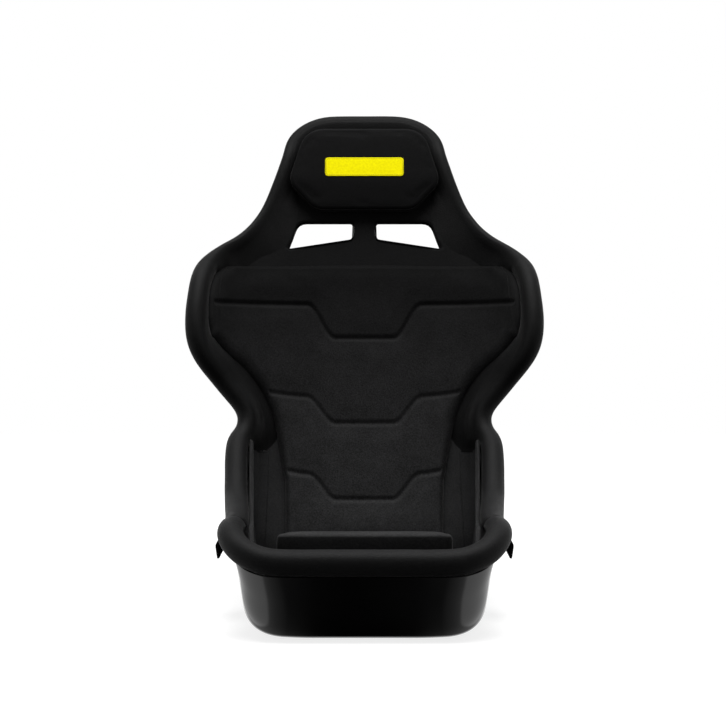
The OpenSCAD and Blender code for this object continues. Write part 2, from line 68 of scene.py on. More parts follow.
# Each station has its centre line point and its rim point in y and z, the half-widths at corner and rim,
# the corner's reach, the crown and the roll
def stationRows():
    s = seat
    neckZ = s["headZ"] - 192
    neck = lambda t: s["wingZ"] + (neckZ - s["wingZ"]) * t
    rim = lambda z, lead: [backLine(z)[0] - lead, z]
    fy, lz, ft, tub, hip, waist, sh, hd = (s[k] for k in (
        "frontY", "lipZ", "footY", "tub", "hip", "waist", "shoulder", "head"))
    rows = [
        ([fy, lz], [fy + 64, lz + 36], [tub + 6, tub + 23], 54, 2, "frontRoll"),
        ([fy + 1, lz - 36], [fy + 93, lz + 38], [tub - 2, tub + 24], 54, 2, "frontRoll"),
        ([fy + 14, floorZ + 15], [fy + 120, lz + 37], [tub - 4, tub + 24], 50, 5, "hipRoll"),
        ([fy + 60, floorZ], [fy + 155, lz + 42], [tub, tub + 24], 46, 8, "hipRoll"),
        ([fy + 205, floorZ], [ft - 135, s["hipZ"] - 74], [tub + 8, hip - 5], 46, 8, "hipRoll"),
        ([ft - 35, floorZ], [ft - 77, s["hipZ"] - 29], [tub + 12, hip], 48, 8, "hipRoll"),
        ([ft - 3, floorZ + 24], [ft - 48, s["hipZ"]], [tub + 10, hip], 50, 6, "hipRoll"),
        (backLine(100), [ft - 29, s["hipZ"] + 14], [tub + 7, hip - 3], 50, 5, "hipRoll"),
        (backLine(195), [ft - 11, s["hipZ"] + 34], [tub + 4, waist], 48, 6, "wingRoll"),
        (backLine(285), [ft + 7, s["wingZ"] - 127], [tub + 5, waist], 44, 8, "wingRoll"),
        (backLine(370), [s["wingY"] + 36, s["wingZ"] - 66], [tub + 24, sh - 37], 60, 12, "wingRoll"),
        (backLine(neck(0.06)), [s["wingY"], s["wingZ"] - 11], [sh - 37, sh], 100, 18, "wingRoll"),
        (backLine(neck(0.456)), [s["wingY"] + 33, neck(0.398)], [sh - 29, sh + 1], 110, 18, "wingRoll"),
        (backLine(neck(0.713)), [s["wingY"] + 84, neck(0.62)], [sh - 42, sh - 12], 80, 14, "wingRoll"),
        (backLine(neck(0.865)), rim(neck(0.778), 36), [sh - 67, sh - 39], 50, 10, "wingRoll"),
        (backLine(neckZ), rim(neckZ - 14, 20), [hd + 46, hd + 68], 36, 7, "wingRoll"),
        (backLine(neckZ + 30), rim(neckZ + 13, 10), [hd + 26, hd + 42], 30, 5, "headRoll"),
        (backLine(neckZ + 80), rim(neckZ + 59, 6), [hd + 5, hd + 19], 28, 4, "headRoll"),
        (backLine(s["headZ"] - 50), rim(s["headZ"] - 80, 5), [hd - 12, hd + 1], 30, 5, "headRoll"),
        (backLine(s["headZ"]), rim(s["headZ"] - 50, 3), [hd - 20, hd - 9], 46, 9, "headRoll"),
    ]
    return np.array([[*c, *e, *w, corner, crown, s[roll]] for c, e, w, corner, crown, roll in rows], float)


stations = stationRows()
last = len(stations) - 1
flatHalf = 70


def stationAt(u):
    u = np.asarray(u, float)
    i = np.clip(np.floor(u).astype(int), 0, last - 1)
    t = (u - i)[..., None]
    a, b = stations[np.maximum(i - 1, 0)], stations[i]
    c, d = stations[i + 1], stations[np.minimum(i + 2, last)]
    bend = (2 * a - 5 * b + 4 * c - d) * t ** 2
    s = 0.5 * (2 * b + (c - a) * t + bend + (3 * b - a - 3 * c + d) * t ** 3)
    s[..., 1] = np.maximum(s[..., 1], floorZ)
    return s


# Middle surface of the shell: u runs along the stations, and v across them from -1 to 1
def skinAt(u, v):
    u, v = np.broadcast_arrays(np.asarray(u, float), np.asarray(v, float))
    s = stationAt(u)
    a = np.abs(v)
    run = s[..., 2:4] - s[..., 0:2]
    reach = np.linalg.norm(run, axis=-1)
    crownAt = lambda x: s[..., 7] * np.maximum(0, (x - flatHalf) / (s[..., 4] - flatHalf)) ** 2
    corner = np.stack([s[..., 4], s[..., 7]], -1)
    edge = np.stack([s[..., 5], reach], -1)
    startX = s[..., 4] - s[..., 6]
    start = np.stack([startX, crownAt(startX)], -1)
    wall = np.linalg.norm(edge - corner, axis=-1)
    side = corner + (edge - corner) * np.minimum(s[..., 6] / wall, 0.8)[..., None]
    flat = np.stack([startX * a / 0.4, crownAt(startX * a / 0.4)], -1)
    t = np.clip((a - 0.4) / 0.3, 0, 1)[..., None]
    bend = start * (1 - t) ** 2 + corner * 2 * t * (1 - t) + side * t ** 2
    up = side + (edge - side) * ((a - 0.7) / 0.3)[..., None]
    p = np.where((a < 0.4)[..., None], flat, np.where((a < 0.7)[..., None], bend, up))
    d = run / reach[..., None]
    side = s[..., :2] + d * p[..., 1:2]
    return np.stack([np.sign(v) * p[..., 0], side[..., 0], side[..., 1]], -1)


def unit(a):
    return a / np.linalg.norm(a, axis=-1, keepdims=True)


# Normal of the middle surface, towards the sitter
def inwardAt(u, v):
    a = np.clip(u, 0.4, last - 0.6)
    b = np.clip(v, -0.92, 0.92)
    across = skinAt(a, b + 0.03) - skinAt(a, b - 0.03)
    return unit(np.cross(across, skinAt(a + 0.06, b) - skinAt(a - 0.06, b)))


def smooth(t):
    c = np.clip(t, 0, 1)
    return c * c * (3 - 2 * c)


def offAt(u, v, d):
    u, v = np.broadcast_arrays(np.asarray(u, float), np.asarray(v, float))
    return skinAt(u, v) + inwardAt(u, v) * np.asarray(d, float)[..., None]


def lengthAlong(points):
    steps = np.linalg.norm(np.diff(points, axis=0), axis=-1)
    return np.concatenate([np.zeros((1, *steps.shape[1:])), np.cumsum(steps, axis=0)])


def interpRows(at, run, values):
    return np.stack([np.interp(at, run, values[:, k]) for k in range(values.shape[1])], -1)


# Meshes
def newObject(name, data):
    thing = bpy.data.objects.new(name, data)
    bpy.context.scene.collection.objects.link(thing)
    return thing


def meshObject(name, points, faces):
    mesh = bpy.data.meshes.new(name)
    mesh.from_pydata((np.asarray(points) * mm).tolist(), [], faces)
    mesh.update()
    shape = bmesh.new()
    shape.from_mesh(mesh)
    bmesh.ops.recalc_face_normals(shape, faces=shape.faces)
    shape.to_mesh(mesh)
    shape.free()
    mesh.polygons.foreach_set("use_smooth", [True] * len(mesh.polygons))
    return newObject(name, mesh)


def gridFaces(rows, cols, start=0):
    i, j = np.meshgrid(np.arange(rows - 1), np.arange(cols - 1), indexing="ij")
    a = start + i * cols + j
    return np.stack([a, a + 1, a + cols + 1, a + cols], -1).reshape(-1, 4).tolist()


def slabObject(name, back, front):
    rows, cols = back.shape[:2]
    k = rows * cols
    number = np.arange(k).reshape(rows, cols)
    rim = np.concatenate([number[0, :-1], number[:-1, -1], number[-1, :0:-1], number[:0:-1, 0]])
    ahead = np.roll(rim, -1)
    around = np.stack([rim, k + rim, k + ahead, ahead], -1).tolist()
    points = np.concatenate([back.reshape(-1, 3), front.reshape(-1, 3)])
    return meshObject(name, points, gridFaces(rows, cols) + gridFaces(rows, cols, k) + around)


def tubeObject(name, rings):
    n, m = rings.shape[:2]
    faces = [[i * m + k, i * m + (k + 1) % m, (i + 1) * m + (k + 1) % m, (i + 1) * m + k]
             for i in range(n - 1) for k in range(m)]
    points = rings.reshape(-1, 3)
    for end in (0, n - 1):
        centre = len(points)
        points = np.concatenate([points, rings[end].mean(0)[None]])
        faces += [[end * m + k, end * m + (k + 1) % m, centre] for k in range(m)]
    return meshObject(name, points, faces)


cornerSteps = 10


def easedOutline(corners):
    c = np.array(corners, float)
    out = []
    for i in range(len(c)):
        p, a, b, r = c[i, :2], c[i - 1, :2], c[(i + 1) % len(c), :2], c[i, 2]
        p0, p1 = p + unit(a - p) * r, p + unit(b - p) * r
        t = np.linspace(0, 1, cornerSteps + 1)[:, None]
        out.append(p0 * (1 - t) ** 2 + p * 2 * t * (1 - t) + p1 * t ** 2)
    return np.concatenate(out)


def bothSides(corners):
    return list(corners) + [[-x, y, r] for x, y, r in corners[::-1]]


def evenly(outline, count):
    closed = np.concatenate([outline, outline[:1]])
    run = lengthAlong(closed)
    return interpRows(np.linspace(0, run[-1], count, endpoint=False), run, closed)


def inset(outline, distance):
    a, b = np.roll(outline, 1, 0), np.roll(outline, -1, 0)
    t = unit(b - a)
    area = np.sum(outline[:, 0] * b[:, 1] - b[:, 0] * outline[:, 1])
    n = np.stack([-t[:, 1], t[:, 0]], -1) * np.sign(area)
    return outline + n * distance


def onBack(points, z):
    r = math.radians(90 - seat["recline"])
    x, y, w = np.moveaxis(np.asarray(points, float), -1, 0)
    return np.stack([x, backLine(z)[0] + y * math.cos(r) - w * math.sin(r),
                     z + y * math.sin(r) + w * math.cos(r)], -1)


def rideAs(piece, slotName, *nodes):
    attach(piece, "root")
    if nodes:
        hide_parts(*nodes)


# Cutters for the belt slots and base inserts
def prism(name, outline, place, low, high):
    flat = np.asarray(outline, float)
    levels = [np.column_stack([flat, np.full(len(flat), w)]) for w in (low, high)]
    return tubeObject(name, np.stack([place(p) for p in levels]))


beltSlot = {"top": 22.3, "upper": 93.5, "innerRise": 17.6, "round": 5, "outerRound": 14, "points": 90}


def slotOutline(grow, side):
    top, near, r = beltSlot["top"], seat["bridge"], beltSlot["round"]
    low = top - seat["slotRise"]
    corners = [[near, top, r], [near + beltSlot["upper"], top, beltSlot["outerRound"]],
               [near + seat["slot"], low, r], [near + 1, low + beltSlot["innerRise"], r]]
    outline = inset(evenly(easedOutline(corners), beltSlot["points"]), -grow)
    return outline * [side, 1]


def stadium(length, width, count=48):
    r = width / 2
    turn = np.linspace(0, 2 * math.pi, count, endpoint=False)
    x = np.cos(turn) * r + np.sign(np.cos(turn)) * (length / 2 - r)
    return np.stack([x, np.sin(turn) * r], -1)


slotZ = seat["headZ"] - 188
lapAt, lapOut = skinAt(4.02, 0.8), -inwardAt(4.02, 0.8)
lapAlong = unit(np.array([-lapOut[1], lapOut[0], 0]))
lapUp = np.cross(lapOut, lapAlong)


def onSide(points, side):
    p = np.asarray(points, float)
    q = lapAt + p[..., :1] * lapAlong + p[..., 1:2] * lapUp + p[..., 2:3] * lapOut
    return q * [side, 1, 1]


def atCrotch(points):
    return points + [0, seat["frontY"] + seat["crotchRun"], 0]


cutReach = {"shoulder": (-40, 60), "lap": (-30, 30), "floor": (-20, 40), "cushion": (60, 200)}


def slotCutters(grow):
    cutters = []
    lap = stadium(seat["lapSlot"] + 2 * grow, seat["lapRise"] + 2 * grow)
    crotch = stadium(seat["crotchSlot"] + 2 * grow, seat["crotchWidth"] + 2 * grow)
    for side, _ in sides:
        shoulder = slotOutline(grow, side)
        cutters.append(prism("cut", shoulder, lambda p: onBack(p, slotZ), *cutReach["shoulder"]))
        cutters.append(prism("cut", lap, lambda p: onSide(p, side), *cutReach["lap"]))
    cutters.append(prism("cut", crotch, atCrotch, *cutReach["floor"]))
    r, bolt = seat["insert"] + seat["gap"], seat["bolt"]
    for x in (-bolt, bolt):
        for y in (-bolt, bolt):
            bore = stadium(2 * r + 0.01, 2 * r)
            cutters.append(prism("cut", bore, lambda p: p + [x, y, 0], *cutReach["floor"]))
    together = joined(cutters, "cutters")
    together.data.materials.append(slotPlastic)
    return together


def joined(things, name):
    shape = bmesh.new()
    for thing in things:
        shape.from_mesh(thing.data)
    mesh = bpy.data.meshes.new(name)
    shape.to_mesh(mesh)
    shape.free()
    for thing in things:
        bpy.data.objects.remove(thing)
    return newObject(name, mesh)


def cutBy(thing, cutter):
    cut = thing.modifiers.new("cut", "BOOLEAN")
    cut.object, cut.operation, cut.solver, cut.material_mode = cutter, "DIFFERENCE", "EXACT", "TRANSFER"
    settle(thing)


def settle(thing):
    bpy.context.view_layer.update()
    graph = bpy.context.evaluated_depsgraph_get()
    mesh = bpy.data.meshes.new_from_object(thing.evaluated_get(graph), depsgraph=graph)
    thing.modifiers.clear()
    thing.data = mesh


# Materials
def nodeMaterial(name):
    material = bpy.data.materials.new(name)
    material.use_nodes = True
    tree = material.node_tree
    tree.nodes.clear()
    surface = tree.nodes.new("ShaderNodeBsdfPrincipled")
    output = tree.nodes.new("ShaderNodeOutputMaterial")
    tree.links.new(surface.outputs[0], output.inputs["Surface"])
    at = tree.nodes.new("ShaderNodeTexCoord").outputs["Object"]
    return material, tree, surface, at


def addNode(tree, kind, links=(), **values):
    node = tree.nodes.new("ShaderNode" + kind)
    for key, value in values.items():
        if hasattr(node, key):
            setattr(node, key, value)
        else:
            node.inputs[key.replace("_", " ")].default_value = value
    for source, target in links:
        tree.links.new(source, node.inputs[target])
    return node


def toneRamp(tree, factor, dark, light, low=0.35, high=0.65):
    ramp = addNode(tree, "ValToRGB", [(factor, "Fac")])
    for stop, place, tone in zip(ramp.color_ramp.elements, (low, high), (dark, light)):
        stop.position, stop.color = place, (*tone, 1.0)
    return ramp.outputs["Color"]


def shadeBetween(tree, surface, *tones):
    tree.links.new(toneRamp(tree, *tones), surface.inputs["Base Color"])


def addBump(tree, surface, height, strength, distance, under=None):
    bump = addNode(tree, "Bump", [(height, "Height")], Strength=strength, Distance=distance)
    if under is not None:
        tree.links.new(under.outputs["Normal"], bump.inputs["Normal"])
    tree.links.new(bump.outputs["Normal"], surface.inputs["Normal"])
    return bump


# Knitted cover: cloudy tone, speckle and loops, a nap with a slight sheen, and painted light that makes it
# paler lower down and paler where it faces up
knit = {"cloudScale": 38.0, "cloudiness": 0.8, "loopScale": 1.8, "tones": (0.36, 0.66),
        "lowerLightFrom": 0.56, "lowerLightTo": 0.12, "topLightFrom": 0.3, "sheen": 0.06, "sheenRough": 0.3,
        "relief": ((0.25, 0.0010), (0.8, 0.0008), (0.3, 0.0003))}


def knitFabric(name, dark, light, grain=520, rough=0.65, specular=0.05, lowerLight=0.0, topLight=(1.0, 1.0)):
    material, tree, surface, at = nodeMaterial(name)
    cloudy = addNode(tree, "TexNoise", [(at, "Vector")], Scale=knit["cloudScale"], Detail=3.0,
                     Roughness=0.6)
    speckle = addNode(tree, "TexNoise", [(at, "Vector")], Scale=grain, Detail=3.0, Roughness=0.75,
                      Distortion=0.6)
    loops = addNode(tree, "TexVoronoi", [(at, "Vector")], Scale=grain * knit["loopScale"])
    both = addNode(tree, "Mix", [(cloudy.outputs["Fac"], "A"), (speckle.outputs["Fac"], "B")],
                   Factor=knit["cloudiness"])
    tone = toneRamp(tree, both.outputs["Result"], dark, light, *knit["tones"])
    # Painted light: the cloth is made paler lower down, towards the seat, standing in for the light that
    # reaches the lower parts
    height = addNode(tree, "SeparateXYZ", [(at, "Vector")]).outputs["Z"]
    lowerLit = addNode(tree, "MapRange", [(height, "Value")], From_Min=knit["lowerLightFrom"],
                   From_Max=knit["lowerLightTo"], To_Min=1.0, To_Max=1 + lowerLight)
    # Painted light: the cloth is made paler where it faces up, standing in for light from above
    normal = addNode(tree, "NewGeometry").outputs["Normal"]
    upward = addNode(tree, "SeparateXYZ", [(normal, "Vector")]).outputs["Z"]
    topLit = addNode(tree, "MapRange", [(upward, "Value")], interpolation_type="SMOOTHSTEP",
                  From_Min=knit["topLightFrom"], From_Max=1.0, To_Min=topLight[0], To_Max=topLight[1])
    # Painted light: the paling lower down and the paling where the cloth faces up multiply its tone
    paintedLight = addNode(tree, "Math", [(lowerLit.outputs["Result"], 0), (topLit.outputs["Result"], 1)],
                    operation="MULTIPLY")
    shade = addNode(tree, "VectorMath", [(tone, 0), (paintedLight.outputs["Value"], "Scale")], operation="SCALE")
    tree.links.new(shade.outputs["Vector"], surface.inputs["Base Color"])
    surface.inputs["Roughness"].default_value = rough
    surface.inputs["Sheen Weight"].default_value = knit["sheen"]
    surface.inputs["Sheen Roughness"].default_value = knit["sheenRough"]
    surface.inputs["Specular IOR Level"].default_value = specular
    under = None
    for texture, relief in zip((cloudy, speckle, loops), knit["relief"]):
        under = addBump(tree, surface, texture.outputs[0], *relief, under)
    return material


# Glossy moulded shell
laminate = {"peelScale": 95.0, "smearScale": 7.0, "dark": (0.0008, 0.0008, 0.0009),
            "light": (0.0016, 0.0016, 0.0017), "rough": (0.10, 0.18), "coat": 0.6, "coatRough": 0.04,
            "relief": (0.12, 0.00012)}


def glossLaminate(name):
    material, tree, surface, at = nodeMaterial(name)
    peel = addNode(tree, "TexNoise", [(at, "Vector")], Scale=laminate["peelScale"], Detail=1.5)
    smear = addNode(tree, "TexNoise", [(at, "Vector")], Scale=laminate["smearScale"], Detail=4.0)
    shadeBetween(tree, surface, smear.outputs["Fac"], laminate["dark"], laminate["light"])
    low, high = laminate["rough"]
    rough = addNode(tree, "MapRange", [(smear.outputs["Fac"], "Value")], To_Min=low, To_Max=high)
    tree.links.new(rough.outputs["Result"], surface.inputs["Roughness"])
    surface.inputs["Coat Weight"].default_value = laminate["coat"]
    surface.inputs["Coat Roughness"].default_value = laminate["coatRough"]
    addBump(tree, surface, peel.outputs["Fac"], *laminate["relief"])
    return material


# Finishes whose tone and relief come from one fine texture
def grainedFinish(name, texture, scale, detail, dark, light, relief, ends=(0.35, 0.65), **sockets):
    material, tree, surface, at = nodeMaterial(name)
    tone = addNode(tree, texture, [(at, "Vector")], Scale=scale, Detail=detail).outputs[0]
    shadeBetween(tree, surface, tone, dark, light, *ends)
    for socket, value in sockets.items():
        surface.inputs[socket.replace("_", " ")].default_value = value
    addBump(tree, surface, tone, *relief)
    return material


# Woven patch
weave = {"threadScale": 260.0, "speckleScale": 300.0, "dark": (0.78, 0.69, 0.001),
         "light": (0.86, 0.78, 0.001), "rough": 0.9, "specular": 0.05, "relief": (0.4, 0.0003)}


def wovenPatch(name):
    material, tree, surface, at = nodeMaterial(name)
    warp, weft = (addNode(tree, "TexWave", [(at, "Vector")], wave_type="BANDS", bands_direction=way,
                          Scale=weave["threadScale"]) for way in "XZ")
    threads = addNode(tree, "Math", [(warp.outputs["Fac"], 0), (weft.outputs["Fac"], 1)],
                      operation="MULTIPLY")
    speckle = addNode(tree, "TexNoise", [(at, "Vector")], Scale=weave["speckleScale"], Detail=2.0)
    shadeBetween(tree, surface, speckle.outputs["Fac"], weave["dark"], weave["light"])
    surface.inputs["Roughness"].default_value = weave["rough"]
    surface.inputs["Specular IOR Level"].default_value = weave["specular"]
    addBump(tree, surface, threads.outputs["Value"], *weave["relief"])
    return material


# Painted light on each fabric: the factors given here make its tone paler lower down and paler where it
# faces up
linerFabric = knitFabric("linerFabric", (0.0028, 0.0028, 0.0029), (0.0056, 0.0056, 0.0057), lowerLight=4.6)
rollFabric = knitFabric("rollFabric", (0.0034, 0.0034, 0.0035), (0.0062, 0.0062, 0.0063),
                        rough=0.5, specular=0.08, lowerLight=0.5, topLight=(0.55, 2.5))
cushionFabric = knitFabric("cushionFabric", (0.0010, 0.0010, 0.0010), (0.0032, 0.0032, 0.0033),
                           grain=440, lowerLight=10.5, topLight=(1.0, 1.1))
seatFabric = knitFabric("seatFabric", (0.0050, 0.0050, 0.0051), (0.0150, 0.0150, 0.0152),
                        grain=440, topLight=(0.8, 3.2))
headrestFabric = knitFabric("headrestFabric", (0.0012, 0.0012, 0.0013), (0.0029, 0.0029, 0.0030),
                            grain=560, topLight=(1.0, 3.4))
shellLaminate = glossLaminate("shellLaminate")
slotPlastic = grainedFinish("slotPlastic", "TexNoise", 900.0, 2.0, dark=(0.003, 0.003, 0.003),
                            light=(0.006, 0.006, 0.006), relief=(0.3, 0.0002),
                            Roughness=0.65, Specular_IOR_Level=0.0)
plateSteel = grainedFinish("plateSteel", "TexNoise", 260.0, 2.0, dark=(0.015, 0.015, 0.016),
                           light=(0.024, 0.024, 0.025), relief=(0.25, 0.0003), Roughness=0.42)
insertSteel = grainedFinish("insertSteel", "TexNoise", 340.0, 3.0, dark=(0.42, 0.42, 0.43),
                            light=(0.58, 0.58, 0.60), relief=(0.2, 0.0002), Roughness=0.34, Metallic=1.0)
riserFoam = grainedFinish("riserFoam", "TexVoronoi", 520.0, 0.0, dark=(0.014, 0.014, 0.015),
                          light=(0.045, 0.045, 0.047), relief=(0.8, 0.001), ends=(0.1, 0.6), Roughness=0.95)
hookStrip = grainedFinish("hookStrip", "TexVoronoi", 800.0, 0.0, dark=(0.004, 0.004, 0.004),
                          light=(0.02, 0.02, 0.02), relief=(0.9, 0.0008), ends=(0.1, 0.5), Roughness=0.85)
patchThread = grainedFinish("patchThread", "TexNoise", 1500.0, 2.0, dark=(0.30, 0.26, 0.002),
                            light=(0.50, 0.44, 0.004), relief=(0.4, 0.0002), Roughness=0.7)
patchCloth = wovenPatch("patchCloth")
print("materials ready")


# Moulded shell
shellGrid = {"rows": 191, "cols": 121}


def makeShell():
    u = np.linspace(0, last, shellGrid["rows"])[:, None]
    v = np.linspace(-1, 1, shellGrid["cols"])[None, :]
    half = seat["laminate"] / 2
    piece = slabObject("shellBody", offAt(u, v, -half), offAt(u, v, half))
    piece.data.materials.append(shellLaminate)
    cutBy(piece, cutters)
    rideAs(piece, "shell", "shell")


# Liners: fabric over thin foam, rounded at their edges
linerShape = {"edgeRound": 5.0, "rowStep": 0.1, "cols": 96, "sideCols": 40, "seam": 0.002, "backFrom": 6.4,
              "sideFrom": 0.8, "sideTo": 9.51, "seamAt": 0.55, "seamTurn": 8.4, "seamRun": 1.6}


def seamAt(u):
    low, beyond = linerShape["seamAt"], (u - linerShape["seamTurn"]) / linerShape["seamRun"]
    return np.where(beyond < 0, low, np.minimum(1, low + (1 - low) * beyond))


def roundedFall(distance, radius):
    d = np.clip(distance, 0, radius)
    return radius - np.sqrt(np.maximum(radius ** 2 - (radius - d) ** 2, 0))


def linerSheet(name, u, vGrid, roundedEnds):
    low = seat["laminate"] / 2 + seat["linerGap"]
    uGrid = np.broadcast_to(u, vGrid.shape)
    front = offAt(uGrid, vGrid, face)
    along = lengthAlong(front)
    fall = np.zeros(vGrid.shape)
    for wanted, distance in zip(roundedEnds, (along, along[-1:] - along)):
        if wanted:
            fall = np.maximum(fall, roundedFall(distance, linerShape["edgeRound"]))
    return slabObject(name, offAt(uGrid, vGrid, low), offAt(uGrid, vGrid, face - fall))


def makeLiners():
    u = np.arange(linerShape["backFrom"], last + 0.001, linerShape["rowStep"])[:, None]
    f = np.linspace(-1, 1, linerShape["cols"])[None, :]
    back = linerSheet("backLiner", u, f * seamAt(u), (True, False))
    back.data.materials.append(linerFabric)
    cutBy(back, cutters)
    rideAs(back, "liner_fabric", "back_liner")
    u = np.arange(linerShape["sideFrom"], linerShape["sideTo"], linerShape["rowStep"])[:, None]
    f = np.linspace(0, 1, linerShape["sideCols"])[None, :]
    for side, word in sides:
        v = (seamAt(u) + linerShape["seam"] + (1 - linerShape["seam"] - seamAt(u)) * f) * side
        sheet = linerSheet("sideLiner" + word.capitalize(), u, v, (True, True))
        sheet.data.materials.append(linerFabric)
        cutBy(sheet, cutters)
        rideAs(sheet, "liner_fabric", "side_liner_" + word)


# Padded rolls along the shell's edge: each is round, with a lip that runs down onto the liner
rollShape = {
    "step": 4.0, "soften": 13.0, "outside": 34, "inside": 26, "under": 5, "split": 2.0, "tuck": 2.0,
    "lipAt": [0, 6.6, 7.1, 7.6, 8.1, 8.5, 12.9, 13.4, 14, 14.6, 15, 16, 16.5, 17.5, 19],
    "lip": [1.5, 2, 9, 25, 42, 0, 0, 30, 78, 66, 58, 50, 42, 26, 16], "sink": 1.1, "liftMost": 14,
    "besideFrom": 7.9, "besideRun": 0.6, "besideTo": 12.8, "besideEnd": 0.3, "over": 0.3, "endsHold": 1.5,
    "waver": [(0.006, 0.043), (0.004, 0.117)], "splitGap": 2.5, "endSizes": (0.84, 0.96),
    "cap": (9, 0.06, 0.24), "laySmooth": 1.6, "layFrom": 2, "layRun": 14,
    "bridgeAt": [13.2, 13.9, 16.8, 17.8], "bridgeLead": 0.3,
    "slopedAt": [8.2, 8.8, 12.5, 13.3], "straight": 26.0, "straightAt": [12.9, 13.6, 16.0, 17.0],
    "flatAt": [12.6, 13.8, 16.2, 17.6], "flatShare": 0.94, "headShare": 0.45,
}
# Half-section at which the back cushion ends, for places along the loft
reachAtU = [6, 8, 9, 9.65, 10, 10.4, 10.75, 11, 11.2, 11.5, 11.9, 12.4, 12.9]
reachEnd = [0.4, 0.43, 0.495, 0.56, 0.615, 0.67, 0.682, 0.695, 0.735, 0.85, 0.95, 0.97, 0.97]
wallSteps = np.linspace(1, 0.3, 43)


def wallPath(u):
    points = skinAt(u, wallSteps)
    return points, inwardAt(u, wallSteps), lengthAlong(points)


# Share of the lip that ends against the back cushion
def besidePad(u):
    rising = smooth((u - rollShape["besideFrom"]) / rollShape["besideRun"])
    return rising * (1 - smooth((u - rollShape["besideTo"]) / rollShape["besideEnd"]))


def softened(values, sigma, step):
    reach = int(3 * sigma / step)
    weights = np.exp(-0.5 * (np.arange(-reach, reach + 1) * step / sigma) ** 2)
    weights /= weights.sum()
    padded = np.concatenate([values[:1].repeat(reach, 0), values, values[-1:].repeat(reach, 0)])
    return np.stack([np.convolve(padded[:, k], weights, "valid") for k in range(values.shape[1])], -1)


def rollPath():
    endPoints, sidePoints = 90, 571
    uv = np.concatenate([
        np.column_stack([np.zeros(endPoints), np.linspace(0, 1, endPoints, endpoint=False)]),
        np.column_stack([np.linspace(0, last, sidePoints), np.ones(sidePoints)]),
        np.column_stack([np.full(endPoints, last), np.linspace(1, 0, endPoints + 1)[1:]])])
    edge = skinAt(uv[:, 0], uv[:, 1])
    along = unit(np.gradient(edge, axis=0))
    normal = inwardAt(uv[:, 0], uv[:, 1])
    normal = unit(normal - along * np.sum(normal * along, 1, keepdims=True))
    radius = stationAt(uv[:, 0])[:, 8:9]
    out = np.cross(along, normal)
    centre = edge + normal * rollOff + out * np.sqrt((radius + seat["gap"]) ** 2 - rollOff ** 2)
    flipped = lambda values: np.concatenate([values, values[-2::-1] * [-1, 1, 1]])
    again = lambda values: np.concatenate([values, values[-2::-1]])
    fields = [flipped(centre), flipped(out), flipped(normal), again(radius), again(uv[:, :1])]
    run = lengthAlong(fields[0])
    at = np.linspace(0, run[-1], int(run[-1] / rollShape["step"]) + 1)
    fields = [interpRows(at, run, values) for values in fields]
    firm = [softened(values, rollShape["soften"], at[1]) for values in fields[:4]]
    loose = [softened(values, rollShape["straight"], at[1]) for values in fields[:4]]
    share = np.interp(fields[4], rollShape["straightAt"], [0, 1, 1, 0])
    fields[:4] = [a + (b - a) * share for a, b in zip(firm, loose)]
    fields[0][[0, -1], 0] = 0
    return {"at": at, "fields": fields}


def rollSection(radius, u, wallRun):
    lip = np.interp(u, rollShape["lipAt"], rollShape["lip"])
    toPad = np.interp(-np.interp(u, reachAtU, reachEnd), -wallSteps, wallRun) + rollShape["tuck"]
    beside = besidePad(u)
    lip = lip * (1 - beside) + toPad * beside
    sloped = np.interp(u, rollShape["slopedAt"], [1, 0, 0, 1])
    share = rollShape["flatShare"]
    flat = np.interp(u, rollShape["flatAt"], [0, share, share, rollShape["headShare"]])
    level = face - rollOff + rollShape["over"]
    crest = radius - (radius - level) * flat
    side = math.sqrt(radius ** 2 - level ** 2)
    turn = np.linspace(math.pi - math.asin(level / radius), 2.5 * math.pi, rollShape["outside"])
    t = np.linspace(0, 1, rollShape["inside"] + 1)[1:]
    domed = np.stack([-(side + lip) * np.sin(t * math.pi / 2), (crest - level) * np.cos(t * math.pi / 2)])
    eased = np.stack([-(side + lip) * t, (crest - level) * (1 - smooth(t))])
    inside = domed * (1 - sloped) + eased * sloped
    back = np.linspace(1, 0, rollShape["under"] + 2)[1:-1]
    across = np.concatenate([radius * np.cos(turn), inside[0], -side - lip * back])
    around = radius * np.sin(turn)
    around = np.where(around > 0, around * crest / radius, around)
    rise = np.concatenate([around, inside[1] + level + rollShape["over"], np.full(len(back), level)])
    return across, rise, side


def linerTree():
    rows, cols = 381, 161
    points = offAt(np.linspace(0, last, rows)[:, None], np.linspace(-1, 1, cols)[None, :], face)
    return BVHTree.FromPolygons(points.reshape(-1, 3).tolist(), gridFaces(rows, cols))


def laidOnLiner(rings, heights, shares):
    normals, lifts = np.zeros(rings.shape), np.zeros(heights.shape)
    for i, k in zip(*np.nonzero(shares > 0.001)):
        place, normal, _, _ = fabricFace.find_nearest(Vector(rings[i, k]))
        normals[i, k] = normal
        lift = heights[i, k] - (Vector(rings[i, k]) - place).dot(normal)
        lifts[i, k] = np.clip(lift, -rollShape["liftMost"], rollShape["liftMost"]) * shares[i, k]
    return rings + normals * softened(lifts, rollShape["laySmooth"], 1.0)[..., None]


def bridged(rings, shares):
    # At the neck the padding fills the hollow between the roll's crest and the end of its lip
    first, end = rollShape["outside"] - 1, rollShape["outside"] + rollShape["inside"]
    crest, tip = rings[:, first], rings[:, end - 1]
    lead = unit(rings[:, first + 1] - crest) * np.linalg.norm(tip - crest, axis=-1, keepdims=True)
    middle = crest + lead * rollShape["bridgeLead"]
    t = np.linspace(0, 1, end - first)[None, :, None]
    curve = (1 - t) ** 2 * crest[:, None] + 2 * t * (1 - t) * middle[:, None] + t ** 2 * tip[:, None]
    rings[:, first:end] += (curve - rings[:, first:end]) * shares[:, None, None]
    return rings


